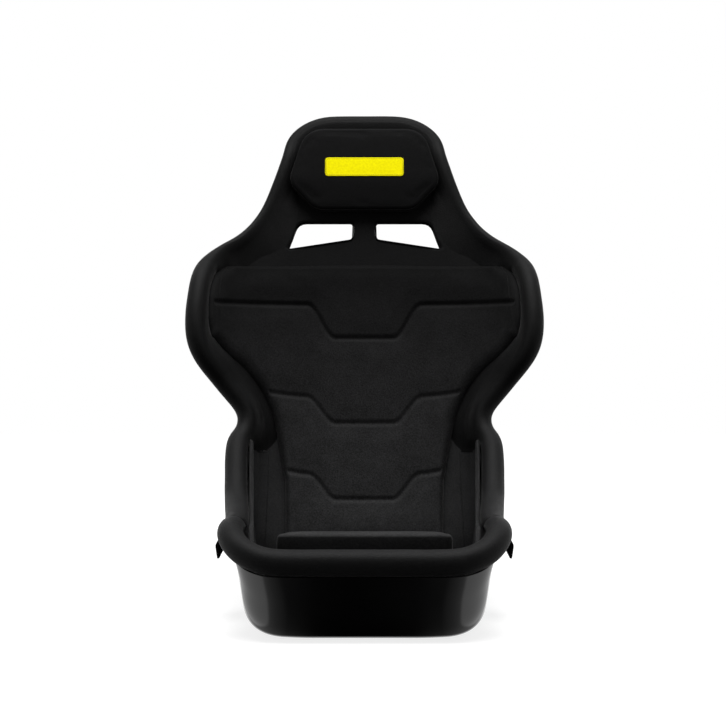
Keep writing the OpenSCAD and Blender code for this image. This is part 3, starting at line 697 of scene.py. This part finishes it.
def rollTube(name, path, places, sizes):
    at, fields = path["at"], path["fields"]
    (broad, broadRate), (fine, fineRate) = rollShape["waver"]
    rings, heights, shares, bridges = [], [], [], []
    for place, size in zip(places, sizes):
        centre, out, normal, radius, u = (interpRows(place, at, values) for values in fields)
        points, inward, run = wallPath(u[0])
        across, rise, side = rollSection(radius[0], u[0], run)
        waver = 1 + broad * math.sin(place * broadRate) + fine * math.sin(place * fineRate + 1.3)
        ring = centre + size * waver * (across[:, None] * unit(out) + rise[:, None] * unit(normal))
        # Beyond the shell's edge the lip bends with the wall that it lies on
        down = np.clip(-across - side, 0, run[-1])
        bend = interpRows(down, run, points) - points[0] - unit(points[1] - points[0]) * down[:, None]
        bend += (interpRows(down, run, inward) - inward[0]) * (rise + rollOff)[:, None]
        hold = smooth(u[0] / rollShape["endsHold"]) * smooth((last - u[0]) / rollShape["endsHold"])
        rings.append(ring + bend * [1 if place < at[-1] / 2 else -1, 1, 1] * hold)
        heights.append(rise + rollOff - face - rollShape["sink"] * (1 - besidePad(u[0])))
        bridges.append(smooth(np.interp(u[0], rollShape["bridgeAt"], [0, 1, 1, 0])))
        shares.append(smooth((down - rollShape["layFrom"]) / rollShape["layRun"]) * hold)
    laid = laidOnLiner(np.stack(rings), np.stack(heights), np.stack(shares))
    piece = tubeObject(name, bridged(laid, np.array(bridges)))
    piece.data.materials.append(rollFabric)
    return piece


def ringsOf(thing, rows):
    count = rollShape["outside"] + rollShape["inside"] + rollShape["under"]
    rings = verticesOf(thing.data)[:count * rows].reshape(-1, count, 3)
    bpy.data.objects.remove(thing)
    return rings


def makeRolls():
    path = rollPath()
    at, u = path["at"], path["fields"][4][:, 0]
    half = at[-1] / 2
    split = at[(u >= rollShape["split"]) & (at < half)][0]
    start = split + rollShape["splitGap"]
    places = np.arange(start, 2 * half - start + 0.1, rollShape["step"])
    sizes = np.ones(len(places))
    sizes[:2], sizes[-2:] = rollShape["endSizes"], rollShape["endSizes"][::-1]
    piece = rollTube("edgeRoll", path, places, sizes)
    rideAs(piece, "roll_fabric", "edge_roll")
    capRings, capFrom, capSize = rollShape["cap"]
    tip = seat["frontRoll"] * (1 - np.cos(np.linspace(capFrom, math.pi / 2, capRings)))
    inward = split - tip
    places = np.concatenate([inward, np.arange(inward[-1] - rollShape["step"], 0, -rollShape["step"])])
    ends = np.sin(np.linspace(capSize, math.pi / 2, capRings))
    ends = np.concatenate([ends, np.ones(len(places) - capRings)])
    front = rollTube("frontHalf", path, places, ends)
    other = rollTube("otherHalf", path, places[::-1], ends[::-1])
    both = np.concatenate([ringsOf(front, len(places)), ringsOf(other, len(places)) * [-1, 1, 1]]) / mm
    piece = tubeObject("frontRoll", both)
    piece.data.materials.append(rollFabric)
    rideAs(piece, "roll_fabric", "front_roll")


# Padded pieces with a flat underside and a crowned top
padShape = {"wallRings": 9, "footInset": 14, "topRings": 46, "topReach": 0.985, "crowding": 1.25}


def outlineCentre(outline):
    low, high = outline.min(0), outline.max(0)
    return (low + high) / 2, (high - low) / 2


def shrunk(outline, distance):
    centre, half = outlineCentre(outline)
    return centre + (outline - centre) * (1 - distance / half)


def lineDistance(points, line):
    best = np.full(len(points), 1e9)
    for a, b in zip(line[:-1], line[1:]):
        ab = b - a
        t = np.clip(((points - a) @ ab) / max(ab @ ab, 1e-9), 0, 1)
        best = np.minimum(best, np.linalg.norm(points - a - t[:, None] * ab, axis=1))
    return best


def borderDistance(points, border):
    return lineDistance(points, np.concatenate([border, border[:1]]))


def padBody(name, outline, place, wall, crown, crownReach):
    rings = [place(shrunk(outline, d), np.full(len(outline), h)) for d, h in wall]
    lastInset, lastHeight = wall[-1]
    half = outlineCentre(outline)[1].min()
    for t in np.linspace(0, 1, padShape["topRings"] + 1)[1:]:
        d = lastInset + (half * padShape["topReach"] - lastInset) * t ** padShape["crowding"]
        flat = shrunk(outline, d)
        away = (borderDistance(flat, outline) - lastInset).clip(0)
        rings.append(place(flat, lastHeight + crown * (1 - np.exp(-away / crownReach))))
    return tubeObject(name, np.stack(rings))


# How far each point of a pad may swell: nothing at its foot and all of it on its top
def topShare(wall, outline):
    top = wall[-1][1]
    heights = np.array([h for _, h in wall] + [top + 10] * padShape["topRings"])
    share = smooth((heights - top * 0.8) / (top * 0.2 + 8))
    return np.concatenate([np.repeat(share, len(outline)), [0, 1]])


# Inset and height of each ring of a pad's wall, from its underside up
def roundedWall(height, low, edge, bulge):
    wall = [(padShape["footInset"], 0), (5 + low * 0.2, 0.6)]
    for t in np.linspace(0, 1, padShape["wallRings"]):
        a = t * math.pi / 2
        wall.append((low * (1 - math.sin(a)), 1 + low * (1 - math.cos(a))))
    top = height - edge
    for t in np.linspace(0, 1, padShape["wallRings"] - 1)[1:-1]:
        wall.append((-bulge * math.sin(t * math.pi), 1 + low + (top - 1 - low) * t))
    for t in np.linspace(0, 1, padShape["wallRings"] + 3):
        a = t * math.pi / 2
        wall.append((edge * (1 - math.cos(a)), top + edge * math.sin(a)))
    return wall


# Cloth under pressure swells a coarse copy of a pad, and the fine mesh takes its swelling from it
swelling = {"voxel": 0.0055, "pressure": 4.0, "frames": 20, "neighbours": 5}


def verticesOf(mesh):
    places = np.empty(len(mesh.vertices) * 3)
    mesh.vertices.foreach_get("co", places)
    return places.reshape(-1, 3)


def swellingOf(piece, cap):
    copy = newObject(piece.name + "Swelling", piece.data.copy())
    remesh = copy.modifiers.new("remesh", "REMESH")
    remesh.mode, remesh.voxel_size = "VOXEL", swelling["voxel"]
    settle(copy)
    before = verticesOf(copy.data)
    cloth = copy.modifiers.new("cloth", "CLOTH")
    cloth.settings.use_pressure = True
    cloth.settings.uniform_pressure_force = swelling["pressure"]
    cloth.settings.effector_weights.gravity = 0
    cloth.point_cache.frame_start, cloth.point_cache.frame_end = 1, swelling["frames"]
    for number in range(1, swelling["frames"] + 1):
        bpy.context.scene.frame_set(number)
    settle(copy)
    moved = verticesOf(copy.data) - before
    bpy.data.objects.remove(copy)
    bpy.context.scene.frame_set(1)
    far = np.linalg.norm(moved, axis=1, keepdims=True)
    return before, moved * np.minimum(1, cap * mm / np.maximum(far, 1e-9))


def swell(piece, cap, share):
    before, moved = swellingOf(piece, cap)
    nearest = KDTree(len(before))
    for k, place in enumerate(before):
        nearest.insert(place, k)
    nearest.balance()
    places = verticesOf(piece.data)
    for k in np.nonzero(share > 0.01)[0]:
        found = nearest.find_n(places[k], swelling["neighbours"])
        weights = np.array([1 / (distance + 0.001) for _, _, distance in found])
        near = moved[[index for _, index, _ in found]]
        places[k] += share[k] * (weights[:, None] * near).sum(0) / weights.sum()
    piece.data.vertices.foreach_set("co", places.ravel())
    piece.data.update()


# Headrest cushion
headrest = {"z": seat["headZ"] - 73, "low": 7, "edge": 6, "bulge": -1.0, "crown": 2.2, "crownReach": 34,
            "swell": 1.6, "taper": 0.12, "taperFrom": -26, "taperRun": 52, "outlinePoints": 260}
headOutline = evenly(easedOutline(bothSides([
    [seat["head"] - 43, -81.5, 16], [seat["head"] + 4, -31, 18],
    [seat["head"] - 26, 67, 34]])), headrest["outlinePoints"])


def headPlace(flat, height):
    thinner = 1 - headrest["taper"] * smooth((headrest["taperFrom"] - flat[:, 1]) / headrest["taperRun"])
    return onBack(np.column_stack([flat, face + padGap + height * thinner]), headrest["z"])


def makeHeadrest():
    wall = roundedWall(seat["headPad"], headrest["low"], headrest["edge"], headrest["bulge"])
    piece = padBody("headrestPad", headOutline, headPlace, wall, headrest["crown"], headrest["crownReach"])
    piece.data.materials.append(headrestFabric)
    swell(piece, headrest["swell"], topShare(wall, headOutline))
    rideAs(piece, "headrest_fabric", "headrest_cushion")
    return piece


# Bare patch on the headrest: its wall gives each ring's share of the outline and its height over the cloth
patch = {"half": 68, "rise": 34, "y": -7.5, "round": 6, "points": 220, "topRings": 21, "topReach": 0.98,
         "wall": ((0.6, 0.2), (0.97, 0.2), (1, 0.45), (1, 0.9), (0.996, 1.15), (0.985, 1.25)),
         "stitchInset": 2.2, "stitchLift": 1.35, "stitchScale": 0.72}


def patchOutline(grow=0.0):
    a, b, r = patch["half"] + grow, patch["rise"] / 2 + grow, patch["round"] + grow * 0.5
    outline = easedOutline(bothSides([[a, -b, r], [a, b, r]]))
    return evenly(outline, patch["points"]) + [0, patch["y"]]


def onCloth(pad, flat, rise):
    tree = BVHTree.FromObject(pad, bpy.context.evaluated_depsgraph_get())
    above = 80
    high, low = headPlace(flat, above) * mm, headPlace(flat, 0) * mm
    hits = [tree.ray_cast(Vector(a), Vector(b - a).normalized())[3] for a, b in zip(high, low)]
    return headPlace(flat, above - np.array(hits) / mm + rise)


def makePatch(pad):
    outline = patchOutline()
    centre = np.array([0, patch["y"]])
    rings = [onCloth(pad, centre + (outline - centre) * share, rise) for share, rise in patch["wall"]]
    for t in np.linspace(0, 1, patch["topRings"] + 1)[1:]:
        flat = shrunk(outline, t * patch["rise"] / 2 * patch["topReach"])
        rings.append(onCloth(pad, flat, patch["wall"][-1][1]))
    piece = tubeObject("headrestPatch", np.stack(rings))
    piece.data.materials.append(patchCloth)
    rideAs(piece, "patch_fabric", "headrest_patch")
    line = patchOutline(-patch["stitchInset"])
    line = onCloth(pad, np.concatenate([line, line[:1]]), patch["stitchLift"])
    stitchRow("patchStitches", line, "patch_fabric", patchThread, patch["stitchScale"])


# Rows of stitches along a line, made with geometry nodes
stitch = {"spacing": 0.0042, "length": 0.0030, "thread": 0.00035}


def makeStitchTree():
    tree = bpy.data.node_groups.new("stitchRow", "GeometryNodeTree")
    tree.interface.new_socket("Geometry", in_out="INPUT", socket_type="NodeSocketGeometry")
    for name in ("Spacing", "Length", "Thread"):
        tree.interface.new_socket(name, in_out="INPUT", socket_type="NodeSocketFloat")
    tree.interface.new_socket("Cotton", in_out="INPUT", socket_type="NodeSocketMaterial")
    tree.interface.new_socket("Geometry", in_out="OUTPUT", socket_type="NodeSocketGeometry")
    add = tree.nodes.new
    given, result = add("NodeGroupInput"), add("NodeGroupOutput")
    curve, points = add("GeometryNodeMeshToCurve"), add("GeometryNodeResampleCurve")
    points.mode = "LENGTH"
    bead, placed = add("GeometryNodeMeshUVSphere"), add("GeometryNodeInstanceOnPoints")
    bead.inputs["Segments"].default_value, bead.inputs["Rings"].default_value = 8, 6
    bead.inputs["Radius"].default_value = 0.5
    tangent, turned = add("GeometryNodeInputTangent"), add("FunctionNodeAlignRotationToVector")
    size, whole = add("ShaderNodeCombineXYZ"), add("GeometryNodeRealizeInstances")
    dressed = add("GeometryNodeSetMaterial")
    for source, output, target, socket in (
            (given, "Geometry", curve, 0), (curve, 0, points, "Curve"),
            (given, "Spacing", points, "Length"), (points, 0, placed, "Points"),
            (bead, "Mesh", placed, "Instance"), (tangent, 0, turned, "Vector"),
            (turned, 0, placed, "Rotation"), (given, "Thread", size, "X"),
            (given, "Thread", size, "Y"), (given, "Length", size, "Z"),
            (size, 0, placed, "Scale"), (placed, 0, whole, 0), (whole, 0, dressed, "Geometry"),
            (given, "Cotton", dressed, "Material"), (dressed, 0, result, 0)):
        tree.links.new(source.outputs[output], target.inputs[socket])
    return tree


def stitchRow(name, line, slotName, cotton, scale):
    mesh = bpy.data.meshes.new(name)
    mesh.from_pydata((line * mm).tolist(), [(k, k + 1) for k in range(len(line) - 1)], [])
    thing = newObject(name, mesh)
    rows = thing.modifiers.new("stitches", "NODES")
    rows.node_group = stitchTree
    values = {"Spacing": stitch["spacing"] * scale, "Length": stitch["length"] * scale,
              "Thread": 2 * stitch["thread"], "Cotton": cotton}
    for item in stitchTree.interface.items_tree:
        if item.name in values:
            rows[item.identifier] = values[item.name]
    settle(thing)
    thing.data.polygons.foreach_set("use_smooth", [True] * len(thing.data.polygons))
    rideAs(thing, slotName)


# Seat cushion
seatCushion = {"low": 6, "edge": 6.5, "bulge": 0.4, "crown": 2.4, "crownReach": 45, "swell": 2.5,
               "front": seat["frontY"] + 43, "rear": seat["footY"] - 34, "widen": 6, "frontRound": 18,
               "rearRound": 14, "outlinePoints": 300}


def seatHeight(y):
    return seat["seatFrontZ"] - (y - seatCushion["front"] - 7) * math.tan(math.radians(seat["seatFall"]))


def seatPlace(flat, height):
    return np.column_stack([flat, seatHeight(flat[:, 1]) - seat["seatPad"] + height])


def makeSeatCushion():
    half = seat["seatHalf"]
    corners = [[half, seatCushion["front"], seatCushion["frontRound"]],
               [half + seatCushion["widen"], seatCushion["rear"], seatCushion["rearRound"]]]
    outline = evenly(easedOutline(bothSides(corners)), seatCushion["outlinePoints"])
    wall = roundedWall(seat["seatPad"], seatCushion["low"], seatCushion["edge"], seatCushion["bulge"])
    piece = padBody("seatPad", outline, seatPlace, wall, seatCushion["crown"], seatCushion["crownReach"])
    piece.data.materials.append(seatFabric)
    swell(piece, seatCushion["swell"], topShare(wall, outline))
    slot = stadium(seat["crotchSlot"], seat["crotchWidth"], 64)
    hole = prism("cut", slot, atCrotch, *cutReach["cushion"])
    hole.data.materials.append(seatFabric)
    cutBy(piece, hole)
    bpy.data.objects.remove(hole)
    rideAs(piece, "cushion_fabric", "seat_cushion")


# Back cushion with three sewn channels
backPad = {"edge": 9, "sideEdge": 22, "sideEdgeAt": (8, 11), "cornerTop": 22, "cornerRun": 330, "puff": 1.6,
           "puffRun": 18, "puffEdge": 26, "groove": (2.7, 2.7, 3.5), "grooveHalf": 8.5, "grooveCurve": 1.3,
           "fadeFrom": 4, "fade": 4, "chevron": (0.15, 0.30), "outerCurve": 1.3, "foot": 104, "topGap": 6,
           "thinner": 1.0, "swell": 1.6, "swellFrom": 5, "swellRun": 30, "swellEdge": 24,
           "rowStep": 2.2, "rowCrowding": 0.11, "cols": 191, "colCrowding": 0.09}
topLevel = slotZ - 58
# Height of each seam at the cushion's sides, beside its middle and at its middle
backLevels = np.array([[backPad["foot"]] * 3, [topLevel - 341, topLevel - 348, topLevel - 389],
                       [topLevel - 212, topLevel - 221, topLevel - 265],
                       [topLevel - 62, topLevel - 66, topLevel - 123],
                       [topLevel - 3, topLevel + 4, topLevel + 5]], float)
heightRows = np.linspace(4.5, last, 400)
heightCols = np.linspace(0, 1, 51)
heightTable = offAt(heightRows[:, None], heightCols[None, :], face + padGap + 8)[..., 2]


# Place along the loft of a point at height z and half-section v on the cushion
def uAt(z, v):
    z, v = np.broadcast_arrays(np.asarray(z, float), np.abs(np.asarray(v, float)))
    found = np.zeros(z.shape)
    for k, col in enumerate(heightCols):
        weight = np.clip(1 - np.abs(v - col) * (len(heightCols) - 1), 0, 1)
        found += weight * np.interp(z, np.maximum.accumulate(heightTable[:, k]), heightRows)
    return found


def denseRows():
    parts = []
    for k in range(4):
        length = abs(np.diff(backLevels[k:k + 2].mean(1)))[0]
        t = np.linspace(0, 1, int(length / backPad["rowStep"]), endpoint=False)
        parts.append(k + t - backPad["rowCrowding"] * np.sin(2 * math.pi * t))
    return np.concatenate(parts + [[4.0]])


def cushionGrid():
    q = denseRows()
    sideZ, shoulderZ, midZ = (np.interp(q, range(5), backLevels[:, k])[:, None] for k in range(3))
    f = np.linspace(-1, 1, backPad["cols"])[None, :]
    f = np.sign(f) * (np.abs(f) + backPad["colCrowding"] * np.sin(math.pi * np.abs(f)) * np.abs(f))
    end = np.full(sideZ.shape, 0.5)
    for _ in range(6):
        end = np.interp(uAt(sideZ, end), reachAtU, reachEnd)
    below = np.clip(topLevel - backPad["topGap"] - sideZ, 0, None)
    pull = roundedFall(below, backPad["cornerTop"])
    v = f * (end - pull / backPad["cornerRun"])
    start, stop = backPad["chevron"]
    outer = np.clip((np.abs(v) - stop) / (end - stop), 0, 1) ** backPad["outerCurve"]
    inner = smooth((np.abs(v) - start) / (stop - start))
    z = midZ + (shoulderZ - midZ) * inner + (sideZ - shoulderZ) * outer
    return uAt(z, v), v, q


def roundRise(away, reach):
    return np.sqrt(np.clip(1 - (1 - np.clip(away / reach, 0, 1)) ** 2, 0, 1))


def makeBackCushion():
    u, v, q = cushionGrid()
    base = offAt(u, v, face + padGap)
    flat = base.reshape(-1, 3)
    near = lambda line: lineDistance(flat, line[::2]).reshape(u.shape)
    side = np.minimum(near(base[:, 0]), near(base[:, -1]))
    ends = near(base[-1])
    grooves = np.array([near(base[np.argmin(np.abs(q - k))]) for k in (1, 2, 3)])
    groove, depth = grooves.min(0), np.array(backPad["groove"])[grooves.argmin(0)]
    sideEdge = np.interp(u, backPad["sideEdgeAt"], [backPad["edge"], backPad["sideEdge"]])
    rise = roundRise(side, sideEdge) * roundRise(ends, backPad["edge"])
    dip = 0.5 + 0.5 * np.cos(math.pi * np.clip(groove / backPad["grooveHalf"], 0, 1))
    dip = depth * dip ** backPad["grooveCurve"] * smooth((side - backPad["fadeFrom"]) / backPad["fade"])
    puff = backPad["puff"] * (1 - np.exp(-groove / backPad["puffRun"]))
    puff = puff * (1 - np.exp(-np.minimum(side, ends) / backPad["puffEdge"]))
    height = (seat["backPad"] - backPad["thinner"]) * rise + puff * rise - dip * rise
    piece = slabObject("backPad", base, offAt(u, v, face + padGap + height))
    piece.data.materials.append(cushionFabric)
    free = rise * smooth((groove - backPad["swellFrom"]) / backPad["swellRun"])
    free = free * smooth(np.minimum(side, ends) / backPad["swellEdge"])
    swell(piece, backPad["swell"], np.concatenate([np.zeros(base[..., 0].size), free.ravel()]))
    rideAs(piece, "cushion_fabric", "back_cushion")


# Side cushions beside the roll: their inner faces are flat and splay a little towards the back
sidePad = {"face": 168.7, "splay": 0.074, "thick": 6.8, "from": 1, "to": 7.16, "rings": 110, "endRings": 7,
           "endSize": 0.72, "points": 72, "turn": 0.5, "linerClear": 0.2, "rollClear": 0.7, "lean": 2.5,
           "roundings": 4, "soften": 3.0}


def padPoint(u, a, n):
    e = skinAt(u, 1)
    down = unit(skinAt(u, 0.9) - e)
    return e + down * a[:, None] + inwardAt(u, 1) * n[:, None]


def padRing(u, shrink):
    r = stationAt(u)[8]
    up = math.sqrt((r + seat["gap"]) ** 2 - rollOff ** 2)
    out, top = face + seat["gap"] + sidePad["linerClear"], rollOff + r + sidePad["rollClear"]
    pad, drop, lean = seat["sidePad"], seat["sideDrop"], up + sidePad["lean"]
    # Corners of the section: distance down the wall and height off it
    corners = np.array([
        [drop, out], [3, out], [-up * 0.5, top - 1], [-up, top], [-lean, top + pad * 0.3],
        [-lean, top + pad * 0.7], [-up, top + pad], [8, top + pad], [drop - 12, top + pad - 2],
        [drop - 3, out + 8], [drop, out + 3]])
    outline = evenly(corners, sidePad["points"])
    for _ in range(sidePad["roundings"]):
        outline = (np.roll(outline, 1, 0) + 2 * outline + np.roll(outline, -1, 0)) / 4
    a = drop / 2 + (outline[:, 0] - drop / 2) * shrink
    middle = (out + top + pad) / 2
    return padPoint(u, a, middle + (outline[:, 1] - middle) * (0.4 + 0.6 * shrink))


def makeSideCushions():
    count, small, turn = sidePad["rings"], sidePad["endSize"], sidePad["turn"]
    u = np.linspace(sidePad["from"], sidePad["to"], count)
    run = np.minimum(np.arange(count), np.arange(count - 1, -1, -1)) / sidePad["endRings"]
    ease = np.sqrt(np.clip(1 - (1 - np.clip(run, 0, 1)) ** 2, 0.1, 1))
    rings = np.stack([padRing(a, small + (1 - small) * k) for a, k in zip(u, ease)])
    rings = softened(rings.reshape(len(u), -1), sidePad["soften"], 1.0).reshape(rings.shape)
    inner = sidePad["face"] + sidePad["splay"] * rings[..., 1]
    depth = np.logaddexp(0, (rings[..., 0] - inner) / turn) * turn
    rings[..., 0] = inner + sidePad["thick"] - np.logaddexp(0, (sidePad["thick"] - depth) / turn) * turn
    for side, word in sides:
        piece = tubeObject("sidePad" + word.capitalize(), rings * [side, 1, 1])
        piece.data.materials.append(cushionFabric)
        rideAs(piece, "cushion_fabric", "side_cushion_" + word)


# Foam riser and hook strips: copies of their solids with the edges rounded
rounding = {"weld": 0.00002, "flatDegrees": 2, "segments": 3, "edgeAngle": 0.6}


def roundedCopy(node, name, width):
    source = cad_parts[node]
    shape = bmesh.new()
    shape.from_mesh(source.data)
    bmesh.ops.remove_doubles(shape, verts=shape.verts, dist=rounding["weld"])
    bmesh.ops.dissolve_limit(shape, angle_limit=math.radians(rounding["flatDegrees"]),
                             verts=shape.verts, edges=shape.edges)
    mesh = bpy.data.meshes.new(name)
    shape.to_mesh(mesh)
    shape.free()
    thing = newObject(name, mesh)
    bevel = thing.modifiers.new("bevel", "BEVEL")
    bevel.width, bevel.segments = width * mm, rounding["segments"]
    bevel.limit_method, bevel.angle_limit = "ANGLE", rounding["edgeAngle"]
    settle(thing)
    thing.data.materials.clear()
    return thing


def makeHidden():
    for node, name, slotName, material, width in (
            ("seat_riser", "riserFoamBlock", "riser_foam", riserFoam, 2.0),
            ("back_hook_strips", "backHookStrips", "hook_strip", hookStrip, 0.4),
            ("head_hook_strips", "headHookStrips", "hook_strip", hookStrip, 0.4),
            ("seat_hook_strips", "seatHookStrips", "hook_strip", hookStrip, 0.4)):
        piece = roundedCopy(node, name, width)
        piece.data.materials.append(material)
        rideAs(piece, slotName, node)


def dressNode(node, material):
    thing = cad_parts[node]
    thing.data.materials.clear()
    thing.data.materials.append(material)


def dressHardware():
    for _, word in sides:
        dressNode("shoulder_slot_trim_" + word, slotPlastic)
        dressNode("lap_belt_guide_" + word, slotPlastic)
        dressNode("base_plate_" + word, plateSteel)
    dressNode("crotch_slot_trim", slotPlastic)
    dressNode("base_inserts", insertSteel)


# Build order
stitchTree = makeStitchTree()
cutters = slotCutters(seat["trim"] + seat["gap"])
fabricFace = linerTree()
makeShell()
print("shell ready")
makeLiners()
print("liners ready")
bpy.data.objects.remove(cutters)
makeRolls()
print("rolls ready")
makePatch(makeHeadrest())
print("headrest ready")
makeSeatCushion()
makeBackCushion()
makeSideCushions()
print("cushions ready")
makeHidden()
dressHardware()
print("hardware ready")


# Floor, light and camera
studio = {"floorHalf": 6.0, "floorDrop": 0.0004, "floorColour": (0.40, 0.40, 0.40, 1), "floorGlow": 0.80,
          "glowReach": (0.5, 1.6), "keyPower": 90, "keySize": 2.0, "keyPlace": (0, -0.5, 2.9),
          "keyAim": (0, 0.05, 0.4), "under": 0.02, "horizon": 0.42, "above": 0.35, "behind": (0.55, 0.95),
          "mirror": ((0.02, 0.0), (0.07, 0.04), (0.13, 0.10), (0.34, 0.2), (0.50, 0.32), (0.58, 0.8)),
          "camera": (-0.0024, -2.28, 0.394), "lens": 74.38, "sensor": 36}


def makeFloor():
    h, z = studio["floorHalf"], -studio["floorDrop"]
    mesh = bpy.data.meshes.new("floor")
    mesh.from_pydata([(-h, -h, z), (h, -h, z), (h, h, z), (-h, h, z)], [], [(0, 1, 2, 3)])
    floor = newObject("floor", mesh)
    material = bpy.data.materials.new("floorPaper")
    material.use_nodes = True
    tree = material.node_tree
    tree.nodes.clear()
    paper = addNode(tree, "BsdfDiffuse", Color=studio["floorColour"])
    path = addNode(tree, "LightPath")
    at = addNode(tree, "TexCoord").outputs["Object"]
    away = addNode(tree, "VectorMath", [(at, 0)], operation="LENGTH")
    near, far = studio["glowReach"]
    glowing = addNode(tree, "MapRange", [(away.outputs["Value"], "Value")], From_Min=near, From_Max=far,
                      To_Min=studio["floorGlow"], To_Max=1.0)
    level = addNode(tree, "Math", [(path.outputs["Is Camera Ray"], 0), (glowing.outputs["Result"], 1)],
                    operation="MULTIPLY")
    glow = addNode(tree, "Emission", [(level.outputs[0], "Strength")])
    both = addNode(tree, "AddShader", [(paper.outputs[0], 0), (glow.outputs[0], 1)])
    addNode(tree, "OutputMaterial", [(both.outputs[0], "Surface")])
    floor.data.materials.append(material)
    # The seat is lit and mirrored by the studio alone
    floor.visible_diffuse = floor.visible_glossy = False


def makeWorld():
    world = bpy.data.worlds.new("studio")
    bpy.context.scene.world = world
    world.use_nodes = True
    tree = world.node_tree
    tree.nodes.clear()
    direction = addNode(tree, "SeparateXYZ", [(addNode(tree, "TexCoord").outputs["Generated"], "Vector")])
    # Mirrored surfaces see white beside and behind the seat, and a dark room in front of it
    aside = addNode(tree, "Math", [(direction.outputs["X"], 0)], operation="ABSOLUTE")
    mirrorRamp = addNode(tree, "ValToRGB", [(aside.outputs[0], "Fac")])
    for place, level in studio["mirror"]:
        stop = mirrorRamp.color_ramp.elements.new(place)
        stop.color = (level, level, level, 1)
    start, end = studio["behind"]
    behind = addNode(tree, "MapRange", [(direction.outputs["Y"], "Value")], From_Min=start, From_Max=end)
    mirrored = addNode(tree, "Math", [(mirrorRamp.outputs["Color"], 0), (behind.outputs["Result"], 1)],
                       operation="MAXIMUM")
    upward = addNode(tree, "MapRange", [(direction.outputs["Z"], "Value")], From_Min=-1.0, From_Max=1.0)
    softRamp = addNode(tree, "ValToRGB", [(upward.outputs["Result"], "Fac")])
    softRamp.color_ramp.elements.new(0.5)
    for stop, name in zip(softRamp.color_ramp.elements, ("under", "horizon", "above")):
        stop.color = (studio[name], studio[name], studio[name], 1)
    path = addNode(tree, "LightPath")
    seen = addNode(tree, "Math", [(path.outputs["Is Glossy Ray"], 0),
                                  (path.outputs["Is Transmission Ray"], 1)], operation="MAXIMUM")
    lit = addNode(tree, "MixRGB", [(seen.outputs[0], "Fac"), (softRamp.outputs["Color"], "Color1"),
                                   (mirrored.outputs[0], "Color2")])
    shown = addNode(tree, "MixRGB", [(path.outputs["Is Camera Ray"], "Fac"),
                                     (lit.outputs["Color"], "Color1")], Color2=(1, 1, 1, 1))
    sky = addNode(tree, "Background", [(shown.outputs["Color"], "Color")], Strength=1.0)
    addNode(tree, "OutputWorld", [(sky.outputs[0], "Surface")])


def makeLamp(name, place, aim, power, size):
    lamp = bpy.data.lights.new(name, "AREA")
    lamp.shape, lamp.size, lamp.energy = "DISK", size, power
    thing = newObject(name, lamp)
    thing.location = place
    thing.rotation_euler = (Vector(aim) - Vector(place)).to_track_quat("-Z", "Y").to_euler()


def makeCamera():
    lens = bpy.data.cameras.new("camera")
    lens.lens, lens.sensor_width = studio["lens"], studio["sensor"]
    camera = newObject("camera", lens)
    camera.location, camera.rotation_euler = studio["camera"], (math.pi / 2, 0, 0)
    bpy.context.scene.camera = camera


makeFloor()
makeWorld()
makeLamp("keyLamp", studio["keyPlace"], studio["keyAim"], studio["keyPower"], studio["keySize"])
makeCamera()
bpy.context.scene.view_settings.view_transform = "Standard"
print("studio ready")
